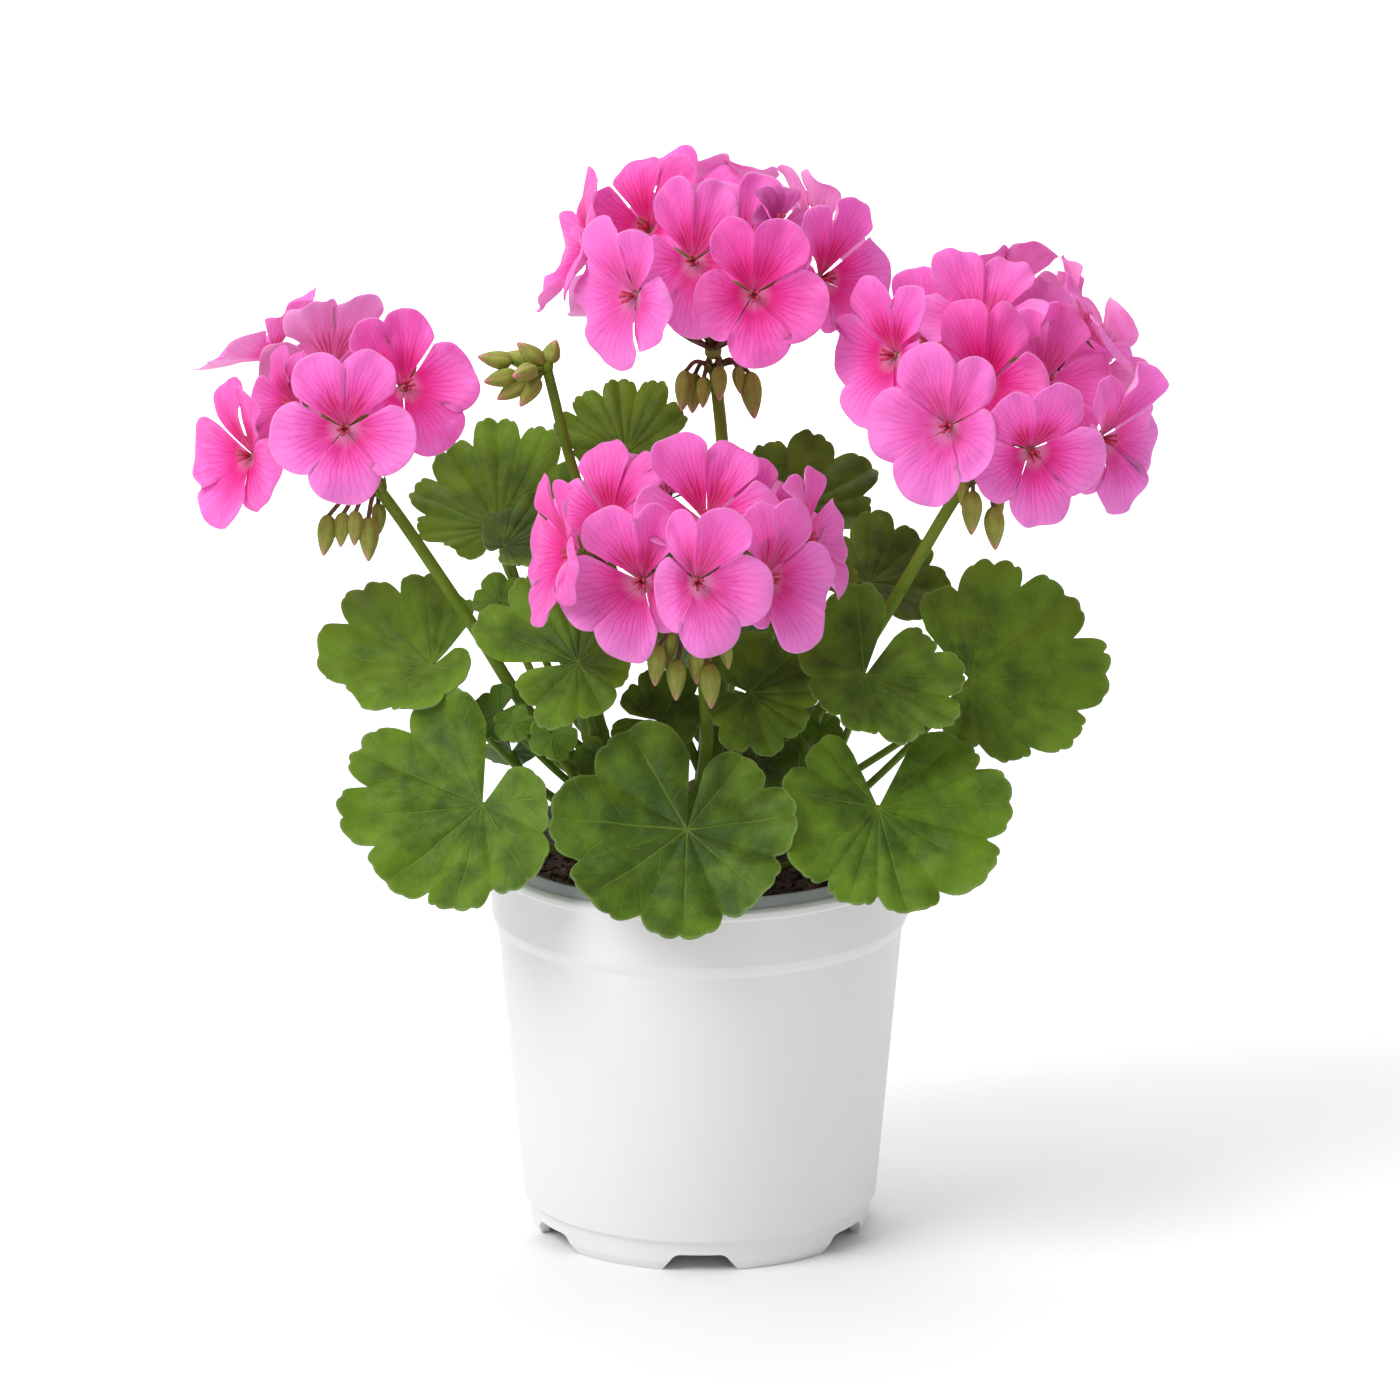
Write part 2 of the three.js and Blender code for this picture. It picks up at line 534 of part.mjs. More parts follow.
// A head of florets: thin stalks, the pedicels, spread from the umbel's middle and each
// carries a floret of five petals, the upper two narrower and set close together.
// at is the floret's middle from the umbel, faces its bearing and rise, roll its turn, size its
// share of the full size and cup how steeply its petals rise. folds give the share of its width
// that the left and right half keep where they are folded back. Buds are [x, y, z, length].
const HEADS = {
  left: {
    umbel: [-101, -8, 241],
    florets: [
      { at: [-6, -26, 21], faces: [-92, 10], roll: 0, cup: 0.5 },
      { at: [11, -8, 29], faces: [-66, 28], roll: 16, cup: 0.4, folds: [0.8, 1] },
      { at: [-34, -16, 10], faces: [-150, 8], roll: -4, cup: 0.6, folds: [1, 0.7] },
      { at: [-11, 9, 31], faces: [113, 37], roll: 0, cup: 0.5 },
      { at: [-30, 20, 31], faces: [159, 55], roll: 10, size: 0.95, cup: 0.55 },
      { at: [-21, -4, 22], faces: [-140, 22], roll: 0, size: 0.75, cup: 1, folds: [0.8, 0.7] },
      { at: [-13, 34, 12], faces: [112, 14], roll: 0, cup: 0.4 },
    ],
    buds: [[-13, -4, -18, 13], [-8, -5, -16, 11], [-4, -7, -15, 11], [0, -5, -19, 14], [3, 1, -14, 10]],
    root: { shoot: 1, up: 0.62, bearing: 175 },
    stalk: [[-50, -6, 162], [-69, -9, 193], [-89, -9, 224]],
  },
  top: {
    umbel: [4, 12, 275],
    florets: [
      { at: [12, -40, 27], faces: [-88, 10], roll: 0, cup: 0.5, folds: [0.8, 1] },
      { at: [-6, -31, 35], faces: [-93, 19], roll: 0, size: 1.05, cup: 0.5, folds: [0.7, 0.8] },
      { at: [-23, -45, 28], faces: [-138, 1], roll: -6, cup: 0.5, folds: [1, 0.7] },
      { at: [32, -23, 28], faces: [-42, 14], roll: 6, cup: 0.7, folds: [0.8, 1] },
      { at: [-35, -14, 34], faces: [-176, 16], roll: 0, cup: 0.65 },
      { at: [-19, -7, 39], faces: [-129, 41], roll: 0, size: 0.95, cup: 0.7 },
      { at: [-5, 8, 36], faces: [-96, 58], roll: 0, size: 0.95, cup: 0.65 },
      { at: [7, 34, 35], faces: [76, 59], roll: 0, cup: 0.5 },
      { at: [19, -21, 43], faces: [-57, 45], roll: 0, size: 0.5, cup: 1 },
      { at: [31, 7, 33], faces: [25, 36], roll: 0, cup: 0.5 },
      { at: [8, -10, 32], faces: [-85, 46], roll: 0, size: 0.95, cup: 0.8 },
      { at: [-21, 28, 10], faces: [135, 28], roll: 0, cup: 0.6 },
      { at: [9, 45, 6], faces: [72, 16], roll: 0, cup: 0.5 },
    ],
    buds: [[-9, -2, -12, 13], [-6, 3, -14, 13], [-3, -4, -12, 10], [2, -5, -9, 11], [8, -1, -9, 9],
      [12, 0, -14, 15]],
    root: { shoot: 3, up: 1 },
    stalk: [[6, 15, 200], [7, 14, 240]],
  },
  right: {
    umbel: [87, -5, 244],
    florets: [
      { at: [-12, -46, 23], faces: [-108, 8], roll: -10, size: 1.05, cup: 0.65, folds: [1, 0.7] },
      { at: [-1, -27, 30], faces: [-94, 30], roll: 0, size: 1.05, cup: 0.85, folds: [0.8, 0.8] },
      { at: [16, -16, 28], faces: [-55, 24], roll: 0, cup: 0.55, folds: [0.8, 1] },
      { at: [12, -43, 15], faces: [-75, -11], roll: 6, cup: 0.55, folds: [0.8, 1] },
      { at: [34, -17, 12], faces: [-35, 0], roll: 4, cup: 0.65, folds: [0.8, 1] },
      { at: [-28, -31, 41], faces: [-141, 11], roll: -4, cup: 0.45, folds: [1, 0.8] },
      { at: [-16, 15, 33], faces: [-123, 42], roll: 0, size: 0.95, cup: 0.6 },
      { at: [-1, -1, 40], faces: [-92, 60], roll: 0, size: 0.95, cup: 0.85 },
      { at: [6, 26, 43], faces: [106, 36], roll: 0, cup: 0.4 },
      { at: [18, 15, 30], faces: [-42, 50], roll: 0, size: 0.9, cup: 0.65 },
      { at: [30, 0, 40], faces: [8, 33], roll: 0, cup: 0.45 },
      { at: [35, 32, 21], faces: [29, 17], roll: 0, cup: 0.45 },
      { at: [-13, 35, 9], faces: [97, 22], roll: 0, cup: 0.4 },
      { at: [8, 49, 20], faces: [69, 19], roll: 0, cup: 0.4 },
    ],
    buds: [[-7, -2, -9, 8], [-4, -3, -15, 14], [3, -2, -20, 14], [4, 3, -14, 10]],
    root: { shoot: 2, up: 1 },
    stalk: [[43, -4, 174], [56, -6, 195], [77, -6, 232]],
  },
  front: {
    umbel: [-3, -38, 208],
    florets: [
      { at: [-14, -24, 14], faces: [-101, 5], roll: -2, size: 1.05, cup: 0.75, folds: [1, 0.6] },
      { at: [2, -36, 17], faces: [-84, 4], roll: 2, cup: 0.55, folds: [0.55, 1] },
      { at: [5, -13, 29], faces: [-88, 43], roll: 0, cup: 0.7 },
      { at: [22, -25, 15], faces: [-41, 11], roll: 0, cup: 0.6, folds: [0.7, 1] },
      { at: [-33, -23, 22], faces: [-169, 7], roll: 0, cup: 0.75, folds: [1, 0.8] },
      { at: [-23, 0, 25], faces: [-136, 43], roll: 0, size: 0.95, cup: 0.7 },
      { at: [-7, 16, 30], faces: [108, 65], roll: 0, size: 0.85, cup: 0.35 },
      { at: [20, 3, 23], faces: [-26, 38], roll: 0, size: 0.95, cup: 0.45 },
      { at: [33, 3, 19], faces: [-13, 18], roll: 0, size: 0.9, cup: 0.5 },
      { at: [-19, 30, 11], faces: [142, 19], roll: 0, cup: 0.75 },
      { at: [19, 28, 10], faces: [55, 14], roll: 0, cup: 0.4 },
    ],
    buds: [[-10, -7, -17, 13], [-4, -9, -21, 13], [2, -7, -17, 12], [6, -9, -23, 14], [11, -6, -14, 9],
      [-6, -4, -12, 10]],
    root: { shoot: 4, up: 1 },
    stalk: [[2, -24, 160], [1, -33, 184]],
  },
};

const UMBEL_RADIUS = 4;
const STALK_STEPS = 6;
const STALK_SIDES = 6;
const PEDICEL_RADIUS = 0.95;
const PETALS = [
  { middle: -30, half: 29, length: 1.05 },
  { middle: 30, half: 29, length: 1.05 },
  { middle: 99, half: 40, length: 0.98 },
  { middle: 180, half: 41, length: 0.98 },
  { middle: 261, half: 40, length: 0.98 },
];

// A floret in its own frame, upper petals towards +x: each petal's rim is a notch point
// and the two corners of its blunt end, and the petals rise from the middle like a saucer
// whose rim flattens out
const PETAL_RIM = [[-1, 0.58], [-0.5, 0.97], [0.5, 0.97]];
const PETAL_FLATTENING = 0.35;
const PETAL_HOLLOW = 0.03;
const FOLD_DEPTH = 0.8;

function floret({ faces, roll, cup, size = 1, folds = [1, 1] }) {
  const length = PETAL_LENGTH * size;
  const rim = PETALS.flatMap(({ middle, half, length: share }) => (
    PETAL_RIM.map(([across, reach]) => {
      const angle = degrees(middle + half * across);
      const out = length * share * reach;
      const rise = cup * out * (1 - (PETAL_FLATTENING * out) / length);
      const hollow = PETAL_HOLLOW * length * Math.cos(across * 3);
      const aside = out * Math.sin(angle);
      const fold = aside > 0 ? folds[0] : folds[1];
      const foldedBack = FOLD_DEPTH * (1 - fold) * Math.abs(aside);
      return [out * Math.cos(angle), aside * fold, rise - hollow - foldedBack];
    })
  ));
  const geometry = blade([rim], FLORET_THICKNESS, true);
  const { out, down } = facing(...faces);
  const up = down.clone().negate().applyAxisAngle(out, degrees(roll));
  geometry.applyMatrix4(new THREE.Matrix4().makeBasis(up, out.clone().cross(up), out));
  return geometry;
}

function flowerHead({ umbel, florets }) {
  const core = solid(new THREE.IcosahedronGeometry(UMBEL_RADIUS, 1));
  const parts = florets.flatMap((shape) => {
    const geometry = floret(shape);
    const middle = point(shape.at);
    geometry.translate(...middle.toArray());
    const start = middle.clone().setLength(UMBEL_RADIUS - 1);
    return [tube(new THREE.LineCurve3(start, middle), PEDICEL_RADIUS, 1, 3), solid(geometry)];
  });
  return fuse([core, ...parts]).translate(umbel);
}

// A bud in its sepals: a spindle from its foot to its tip
function bud(foot, tip, width) {
  const length = foot.distanceTo(tip);
  const profile = [[0, 0], [0.46, 0.22], [0.44, 0.62], [0, 1]];
  const lathe = new THREE.LatheGeometry(
    profile.map(([radius, up]) => new THREE.Vector2(radius * width, up * length)), 5,
  );
  const along = tip.clone().sub(foot).normalize();
  lathe.applyQuaternion(new THREE.Quaternion().setFromUnitVectors(new THREE.Vector3(0, 1, 0), along));
  lathe.translate(...foot.toArray());
  return solid(lathe);
}

// The curve of a flower stalk, from its root on the shoot up to just under the umbel
function stalkCurve({ root, stalk, umbel }) {
  const top = point(umbel);
  const last = point(stalk[stalk.length - 1]);
  const end = top.clone().sub(last).setLength(-UMBEL_RADIUS - CLEARANCE).add(top);
  return new THREE.CatmullRomCurve3([rootOn(root).start, ...stalk.map(point), end]);
}

// A flower stalk: it carries the head and, round its top, green buds that hang down. Their
// pedicels leave it one under the other and arch over, and the buds lean outwards a little.
const BUD_SLENDERNESS = 0.46;
const BUD_LEAN = 0.06;
const BUD_ARCH = 3;
const FIRST_PEDICEL = 0.98;
const PEDICEL_SPACING = 0.008;
const PEDICEL_IN_BUD = 0.15;

function flowerStalk(head) {
  const curve = stalkCurve(head);
  const parts = head.buds.flatMap(([x, y, z, length], i) => {
    const collar = curve.getPointAt(FIRST_PEDICEL - PEDICEL_SPACING * i);
    const middle = point(head.umbel).add(point([x, y, z]));
    const lean = point([x * BUD_LEAN, y * BUD_LEAN, -length / 2]);
    const foot = middle.clone().sub(lean);
    const tip = middle.clone().add(lean);
    const over = foot.clone().add(point([0, 0, BUD_ARCH]));
    const start = collar.clone().add(point([x, y, 0]).setLength(STALK_RADIUS - 1.2));
    const pedicel = new THREE.QuadraticBezierCurve3(start, over, foot.clone().lerp(tip, PEDICEL_IN_BUD));
    return [tube(pedicel, PEDICEL_RADIUS, 2, 3), bud(foot, tip, length * BUD_SLENDERNESS)];
  });
  return fuse([tube(curve, STALK_RADIUS, STALK_STEPS, STALK_SIDES), ...parts]);
}

// The young cluster: closed buds that spread from a small knot at the end of their own stalk
const YOUNG_STALK_RADIUS = 1.6;
const KNOT_RADIUS = 2.4;
const YOUNG_BUD_LENGTH = 11;
const YOUNG_BUD_WIDTH = 5.8;
const BUD_CLUSTER = {
  root: { shoot: 3, up: 0.5, bearing: -170 },
  stalk: [[-18, 14, 184], [-37, 11, 232]],
  umbel: [-48, 9, 275],
  tips: [[-21, -4, 4], [-9, -2, 8], [3, 2, 8], [-19, -8, -3], [-15, -6, -9], [-8, -7, -11], [-10, -13, 0],
    [-6, 10, 0], [-14, 7, 2]],
};

function youngBuds(cluster) {
  const curve = stalkCurve(cluster);
  const top = curve.getPointAt(1);
  const parts = cluster.tips.flatMap((place) => {
    const reach = point(place);
    const tip = top.clone().add(reach);
    const foot = reach.clone().setLength(Math.max(reach.length() - YOUNG_BUD_LENGTH, 1)).add(top);
    const pedicel = new THREE.LineCurve3(top, foot.clone().lerp(tip, PEDICEL_IN_BUD));
    return [tube(pedicel, PEDICEL_RADIUS, 1, 3), bud(foot, tip, YOUNG_BUD_WIDTH)];
  });
  const knot = solid(new THREE.IcosahedronGeometry(KNOT_RADIUS)).translate(top.toArray());
  return fuse([tube(curve, YOUNG_STALK_RADIUS, STALK_STEPS, 5), knot, ...parts]);
}

// The whole plant in its pot
const plant = new THREE.Group();
plant.position.x = POT_AXIS_X;

const sockets = [
  ...Object.values(LEAVES).map((shape) => socket(petioleCurve(shape), PETIOLE_RADIUS, PETIOLE_STEPS)),
  ...Object.values(HEADS).map((head) => socket(stalkCurve(head), STALK_RADIUS, STALK_STEPS)),
  socket(stalkCurve(BUD_CLUSTER), YOUNG_STALK_RADIUS, STALK_STEPS),
];
const stem = sockets.reduce((body, hole) => body.subtract(hole), branchingStem(0));

plant.add(piece('nursery_pot', nurseryPot(), WHITE_PLASTIC));
plant.add(piece('potting_soil', pottingSoil(), PEAT));
plant.add(piece('branching_stem', stem, GREEN_STEM));
for (const [name, shape] of Object.entries(LEAVES)) {
  const surface = name.startsWith('young') ? YOUNG_LEAF_GREEN : LEAF_GREEN;
  plant.add(piece(name, leaf(shape), surface));
}
for (const [side, head] of Object.entries(HEADS)) {
  plant.add(piece(`flower_stalk_${side}`, flowerStalk(head), GREEN_STEM));
  plant.add(piece(`flower_head_${side}`, flowerHead(head), PETAL_PINK));
}
plant.add(piece('young_bud_stalk', youngBuds(BUD_CLUSTER), GREEN_STEM));

export default plant;
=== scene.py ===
import math
from functools import partial
from random import Random

import bmesh
import bpy
from mathutils import Matrix, Vector, noise
from mathutils.geometry import interpolate_bezier


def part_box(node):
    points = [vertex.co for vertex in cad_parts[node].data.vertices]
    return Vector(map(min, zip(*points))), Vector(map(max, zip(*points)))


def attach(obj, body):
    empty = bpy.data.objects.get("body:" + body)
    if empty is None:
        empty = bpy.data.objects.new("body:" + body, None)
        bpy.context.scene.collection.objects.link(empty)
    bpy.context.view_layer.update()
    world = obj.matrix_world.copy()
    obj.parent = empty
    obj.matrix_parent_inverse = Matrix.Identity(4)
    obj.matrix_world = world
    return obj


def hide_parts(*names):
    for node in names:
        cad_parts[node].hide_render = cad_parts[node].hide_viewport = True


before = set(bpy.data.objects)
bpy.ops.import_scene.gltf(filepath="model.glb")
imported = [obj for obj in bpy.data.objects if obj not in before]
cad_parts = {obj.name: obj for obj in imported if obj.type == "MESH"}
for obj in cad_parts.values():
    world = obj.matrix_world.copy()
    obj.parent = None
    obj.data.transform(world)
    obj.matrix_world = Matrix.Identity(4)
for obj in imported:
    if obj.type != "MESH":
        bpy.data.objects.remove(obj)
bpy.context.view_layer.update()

# The nursery pot: injection-moulded polypropylene, white outside, turned about its own upright axis. A
# deep collar and a rim band stiffen its mouth, a thin lip stands above them, and six drainage notches
# cross the foot ring. The lip and the inner wall are grey: painted shade and painted reflection of the
# dark soil and leaves.
MM = 0.001
POT_LOW, POT_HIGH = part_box("nursery_pot")
POT_AXIS = Vector(((POT_LOW.x + POT_HIGH.x) / 2, (POT_LOW.y + POT_HIGH.y) / 2, 0))
BAND_HEIGHT = 3.4
LIP_SETBACK = 2.6
LIP_RISE = 3.2
LIP_WIDTH = 1.1
POT_HEIGHT = POT_HIGH.z / MM - LIP_RISE
RIM_RADIUS = (POT_HIGH.x - POT_LOW.x) / 2 / MM
COLLAR_BOTTOM = 98
BODY_TOP_RADIUS = 62.6
BODY_FOOT_RADIUS = 54.8
BASE_RADIUS = 51.2
POT_WALL = 2.3
FLOOR_TOP = 10.2
FLOOR_BOTTOM = 7.6
FOOT_WIDTH = 2.6
POT_STEPS = 160
POT_ROUNDING = 0.3
NOTCH_COUNT = 6
NOTCH_HEIGHT = 5.6
NOTCH_TOP_WIDTH = 15.4
NOTCH_BOTTOM_WIDTH = 25
NOTCH_ROUNDING = 1.6
NOTCH_REACH = 10
DRAIN_COUNT = 4
DRAIN_RADIUS = 4
DRAIN_CIRCLE = 32
POT_PROFILE = [
    (0, FLOOR_BOTTOM),
    (BASE_RADIUS - FOOT_WIDTH + 0.8, FLOOR_BOTTOM),
    (BASE_RADIUS - FOOT_WIDTH, 0),
    (BASE_RADIUS, 0),
    (BASE_RADIUS + 1.5, 3),
    (BASE_RADIUS + 2.2, 9.4),
    (BODY_FOOT_RADIUS, 10.4),
    (BODY_TOP_RADIUS, COLLAR_BOTTOM - 1),
    (BODY_TOP_RADIUS + 1.1, COLLAR_BOTTOM + 0.8),
    (RIM_RADIUS - 0.5, COLLAR_BOTTOM + 3),
    (RIM_RADIUS - 0.5, POT_HEIGHT - BAND_HEIGHT),
    (RIM_RADIUS, POT_HEIGHT - BAND_HEIGHT + 0.5),
    (RIM_RADIUS, POT_HEIGHT - 1),
    (RIM_RADIUS - 1, POT_HEIGHT),
    (RIM_RADIUS - LIP_SETBACK + 0.8, POT_HEIGHT),
    (RIM_RADIUS - LIP_SETBACK, POT_HEIGHT + LIP_RISE),
    (RIM_RADIUS - LIP_SETBACK - LIP_WIDTH, POT_HEIGHT + LIP_RISE),
    (BODY_TOP_RADIUS - POT_WALL, COLLAR_BOTTOM),
    (BODY_FOOT_RADIUS - POT_WALL, FLOOR_TOP),
    (0, FLOOR_TOP),
]


def finish(name, colour, roughness, **even):
    """A material whose shader holds the values that are the same all over the surface."""
    material = bpy.data.materials.new(name)
    material.use_nodes = True
    shader = material.node_tree.nodes["Principled BSDF"]
    shader.inputs["Base Color"].default_value = (*colour, 1)
    shader.inputs["Roughness"].default_value = roughness
    for socket, value in even.items():
        shader.inputs[socket.replace("_", " ")].default_value = value
    return material


def add(material, kind, *inputs, **settings):
    """A shader node; its inputs in order are values or the outputs of other nodes."""
    node = material.node_tree.nodes.new("ShaderNode" + kind)
    for name, value in settings.items():
        setattr(node, name, value)
    for socket, value in zip(node.inputs, inputs):
        if isinstance(value, bpy.types.NodeSocket):
            material.node_tree.links.new(value, socket)
        elif value is not None:
            socket.default_value = value
    return node.outputs[0]


def sums(material, operation, *values):
    return add(material, "Math", *values, operation=operation)


def steps(material, value, start, end, low=0.0, high=1.0):
    """A smooth change from low to high as a value goes from start to end."""
    return add(material, "MapRange", value, start, end, low, high, interpolation_type="SMOOTHSTEP")


def blend(material, share, first, second):
    """A colour between two: each is (red, green, blue) or another node's output."""
    node = material.node_tree.nodes.new("ShaderNodeMix")
    node.data_type = "RGBA"
    for socket, value in ((node.inputs[0], share), (node.inputs[6], first), (node.inputs[7], second)):
        if isinstance(value, bpy.types.NodeSocket):
            material.node_tree.links.new(value, socket)
        else:
            socket.default_value = value if isinstance(value, float) else (*value, 1)
    return node.outputs[2]


def grain(material, scale, detail=3.0, roughness=0.55):
    """Noise on the object's own coordinates, with so many features to the metre."""
    place = add(material, "TexCoord")
    texture = material.node_tree.nodes.new("ShaderNodeTexNoise")
    material.node_tree.links.new(place.node.outputs["Object"], texture.inputs["Vector"])
    texture.inputs["Scale"].default_value = scale
    texture.inputs["Detail"].default_value = detail
    texture.inputs["Roughness"].default_value = roughness
    return texture.outputs[0]


def dress(material, colour=None, roughness=None, relief=None, depth=0.001, strength=0.5):
    """Joins a colour, a roughness and a relief to the material's shader."""
    links = material.node_tree.links
    shader = material.node_tree.nodes["Principled BSDF"]
    if colour is not None:
        links.new(colour, shader.inputs["Base Color"])
    if roughness is not None:
        links.new(roughness, shader.inputs["Roughness"])
    if relief is not None:
        bump = material.node_tree.nodes.new("ShaderNodeBump")
        bump.inputs["Strength"].default_value = strength
        bump.inputs["Distance"].default_value = depth
        links.new(relief, bump.inputs["Height"])
        links.new(bump.outputs[0], shader.inputs["Normal"])


def placed(name, mesh):
    """An object from a bmesh in millimetres about the pot's foot."""
    bmesh.ops.transform(mesh, matrix=Matrix.Translation(POT_AXIS) @ Matrix.Scale(MM, 4), verts=mesh.verts)
    data = bpy.data.meshes.new(name)
    mesh.to_mesh(data)
    mesh.free()
    made = bpy.data.objects.new(name, data)
    bpy.context.scene.collection.objects.link(made)
    return made


def piece(name, mesh, materials, nodes, sharp=None):
    """A piece of the plant that takes the place of the solids named in nodes and rides with them."""
    made = placed(name, mesh)
    for material in materials:
        made.data.materials.append(material)
    made.data.shade_smooth()
    if sharp is not None:
        made.data.set_sharp_from_angle(angle=math.radians(sharp))
    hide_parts(*nodes)
    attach(made, "root")
    return made


def turned(profile, count):
    """A closed body turned about the upright axis from a profile that starts and ends on it."""
    mesh = bmesh.new()
    points = [mesh.verts.new((radius, 0, height)) for radius, height in profile]
    for first, second in zip(points, points[1:]):
        mesh.edges.new((first, second))
    bmesh.ops.spin(
        mesh, geom=mesh.verts[:] + mesh.edges[:], axis=(0, 0, 1), cent=(0, 0, 0),
        angle=math.tau, steps=count, use_merge=True,
    )
    bmesh.ops.remove_doubles(mesh, verts=mesh.verts, dist=1e-4)
    bmesh.ops.recalc_face_normals(mesh, faces=mesh.faces)
    return mesh


def cut(body, tools):
    """Cuts the tools' solids out of a body with an exact boolean, and deletes the tools."""
    for tool in tools:
        modifier = body.modifiers.new("cut", "BOOLEAN")
        modifier.operation = "DIFFERENCE"
        modifier.solver = "EXACT"
        modifier.object = tool
    bpy.context.view_layer.update()
    data = bpy.data.meshes.new_from_object(body.evaluated_get(bpy.context.evaluated_depsgraph_get()))
    body.modifiers.clear()
    body.data = data
    for tool in tools:
        bpy.data.objects.remove(tool)


def cutter(mesh):
    bmesh.ops.recalc_face_normals(mesh, faces=mesh.faces)
    return placed("cutter", mesh)


def notch(bearing):
    """A wedge through the foot ring, wide at the floor and with eased upper corners."""
    mesh = bmesh.new()
    outline = [(-NOTCH_BOTTOM_WIDTH / 2, -1), (NOTCH_BOTTOM_WIDTH / 2, -1),
               (NOTCH_TOP_WIDTH / 2, NOTCH_HEIGHT), (-NOTCH_TOP_WIDTH / 2, NOTCH_HEIGHT)]
    mesh.faces.new([mesh.verts.new((x, BASE_RADIUS - NOTCH_REACH, z)) for x, z in outline])
    bmesh.ops.bevel(
        mesh, geom=[vert for vert in mesh.verts if vert.co.z > 0], offset=NOTCH_ROUNDING, segments=4,
        profile=0.5, affect="VERTICES", material=-1,
    )
    made = bmesh.ops.extrude_face_region(mesh, geom=mesh.faces[:])
    moved = [item for item in made["geom"] if isinstance(item, bmesh.types.BMVert)]
    bmesh.ops.translate(mesh, vec=(0, 2 * NOTCH_REACH, 0), verts=moved)
    bmesh.ops.rotate(mesh, cent=(0, 0, 0), matrix=Matrix.Rotation(bearing, 3, "Z"), verts=mesh.verts)
    return cutter(mesh)


def drain(bearing):
    mesh = bmesh.new()
    place = Vector((DRAIN_CIRCLE * math.cos(bearing), DRAIN_CIRCLE * math.sin(bearing), FLOOR_TOP))
    bmesh.ops.create_cone(
        mesh, cap_ends=True, segments=32, radius1=DRAIN_RADIUS, radius2=DRAIN_RADIUS, depth=12,
        matrix=Matrix.Translation(place),
    )
    return cutter(mesh)


PORES_A_METRE = 1800
PORE_DEPTH = 0.00006
white_plastic = finish("white polypropylene", (0.80, 0.80, 0.806), 0.4)
clouding = grain(white_plastic, 30)
dress(
    white_plastic,
    blend(white_plastic, clouding, (0.785, 0.784, 0.791), (0.813, 0.812, 0.818)),
    steps(white_plastic, clouding, 0.3, 0.7, 0.36, 0.46),
    grain(white_plastic, PORES_A_METRE, 2.0), PORE_DEPTH, strength=0.35,
)

# The lip and the inner wall are painted grey: painted shade and reflection of the dark soil and leaves
# above them.
grey_painted_shade_plastic = finish("grey lip and inside of the pot, painted shade", (0.34, 0.36, 0.38), 0.3)
dress(
    grey_painted_shade_plastic, blend(grey_painted_shade_plastic, grain(grey_painted_shade_plastic, 60), (0.30, 0.32, 0.34), (0.42, 0.44, 0.46)),
    None, grain(grey_painted_shade_plastic, PORES_A_METRE, 2.0), PORE_DEPTH, strength=0.3,
)

pot_mesh = turned(POT_PROFILE, POT_STEPS)
# The lip's top and the inner wall above the floor take the grey painted shade.
for face in pot_mesh.faces:
    middle = face.calc_center_median()
    radius = math.hypot(middle.x, middle.y)
    inside = radius < BODY_TOP_RADIUS - POT_WALL + 0.5 and face.normal.xy.dot(middle.xy) < 0
    if middle.z > POT_HEIGHT + 0.1 or (middle.z > FLOOR_TOP and inside):
        face.material_index = 1
rings = [edge for edge in pot_mesh.edges
         if abs(edge.verts[0].co.z - edge.verts[1].co.z) < 1e-4 and edge.calc_face_angle(0) > 0.15]
bmesh.ops.bevel(
    pot_mesh, geom=rings, offset=POT_ROUNDING, segments=2, profile=0.5, affect="EDGES", material=-1,
)
nursery_pot = piece("white_nursery_pot", pot_mesh, [white_plastic, grey_painted_shade_plastic],
                    ["nursery_pot"])
cut(nursery_pot, [notch(math.tau * i / NOTCH_COUNT) for i in range(NOTCH_COUNT)]
    + [drain(math.tau * (i + 0.5) / DRAIN_COUNT) for i in range(DRAIN_COUNT)])
nursery_pot.data.set_sharp_from_angle(angle=math.radians(35))


# The potting soil: coarse, dark, reddish peat that was pressed in to a finger's width under the
# lip. Its top is uneven, and loose crumbs and clods of it lie where they fell.
SOIL_TOP = 108.5
SOIL_RADIUS = BODY_TOP_RADIUS - POT_WALL - 0.6
SOIL_FOOT_RADIUS = BODY_FOOT_RADIUS - POT_WALL - 0.6
SOIL_STEPS = 96
SOIL_RINGS = 44
CRUMB_COUNT = 900
CRUMB_SIZES = (0.5, 0.6, 0.8, 0.9, 1.2, 1.7)
MOUND_HEIGHT = 0.72
LUMP_HEIGHT = 1.1
CLOD_HEIGHT = 0.9
HEAP_HEIGHT = 1.6
HEAP_SPREAD = 140
TRUNK_FOOT = Vector((0, 6, SOIL_TOP))


def soil_height(x, y):
    """The peat's surface: long mounds, lumps and fine crumb, and a small heap round the trunk."""
    mound = MOUND_HEIGHT * math.sin(x * 0.31 + 0.5) * math.cos(y * 0.27)
    lumps = LUMP_HEIGHT * noise.noise(Vector((x, y, 3)) * 0.16)
    clods = CLOD_HEIGHT * noise.noise(Vector((x, y, 8)) * 0.5)
    heap = HEAP_HEIGHT * math.exp(-((x - TRUNK_FOOT.x) ** 2 + (y - TRUNK_FOOT.y) ** 2) / HEAP_SPREAD)
    return SOIL_TOP + mound + lumps + clods + heap


peat = finish("damp peat", (0.05, 0.026, 0.016), 0.95)
peat_patches = grain(peat, 160, 5.0, 0.65)
peat_grit = grain(peat, 900, 4.0, 0.7)
dark_peat = blend(peat, peat_patches, (0.016, 0.009, 0.007), (0.065, 0.032, 0.018))
dress(
    peat,
    blend(peat, steps(peat, peat_grit, 0.42, 0.68), dark_peat, (0.15, 0.075, 0.04)),
    steps(peat, peat_patches, 0.3, 0.7, 0.98, 0.8),
    sums(peat, "ADD", peat_grit, peat_patches), depth=0.0012, strength=0.9,
)

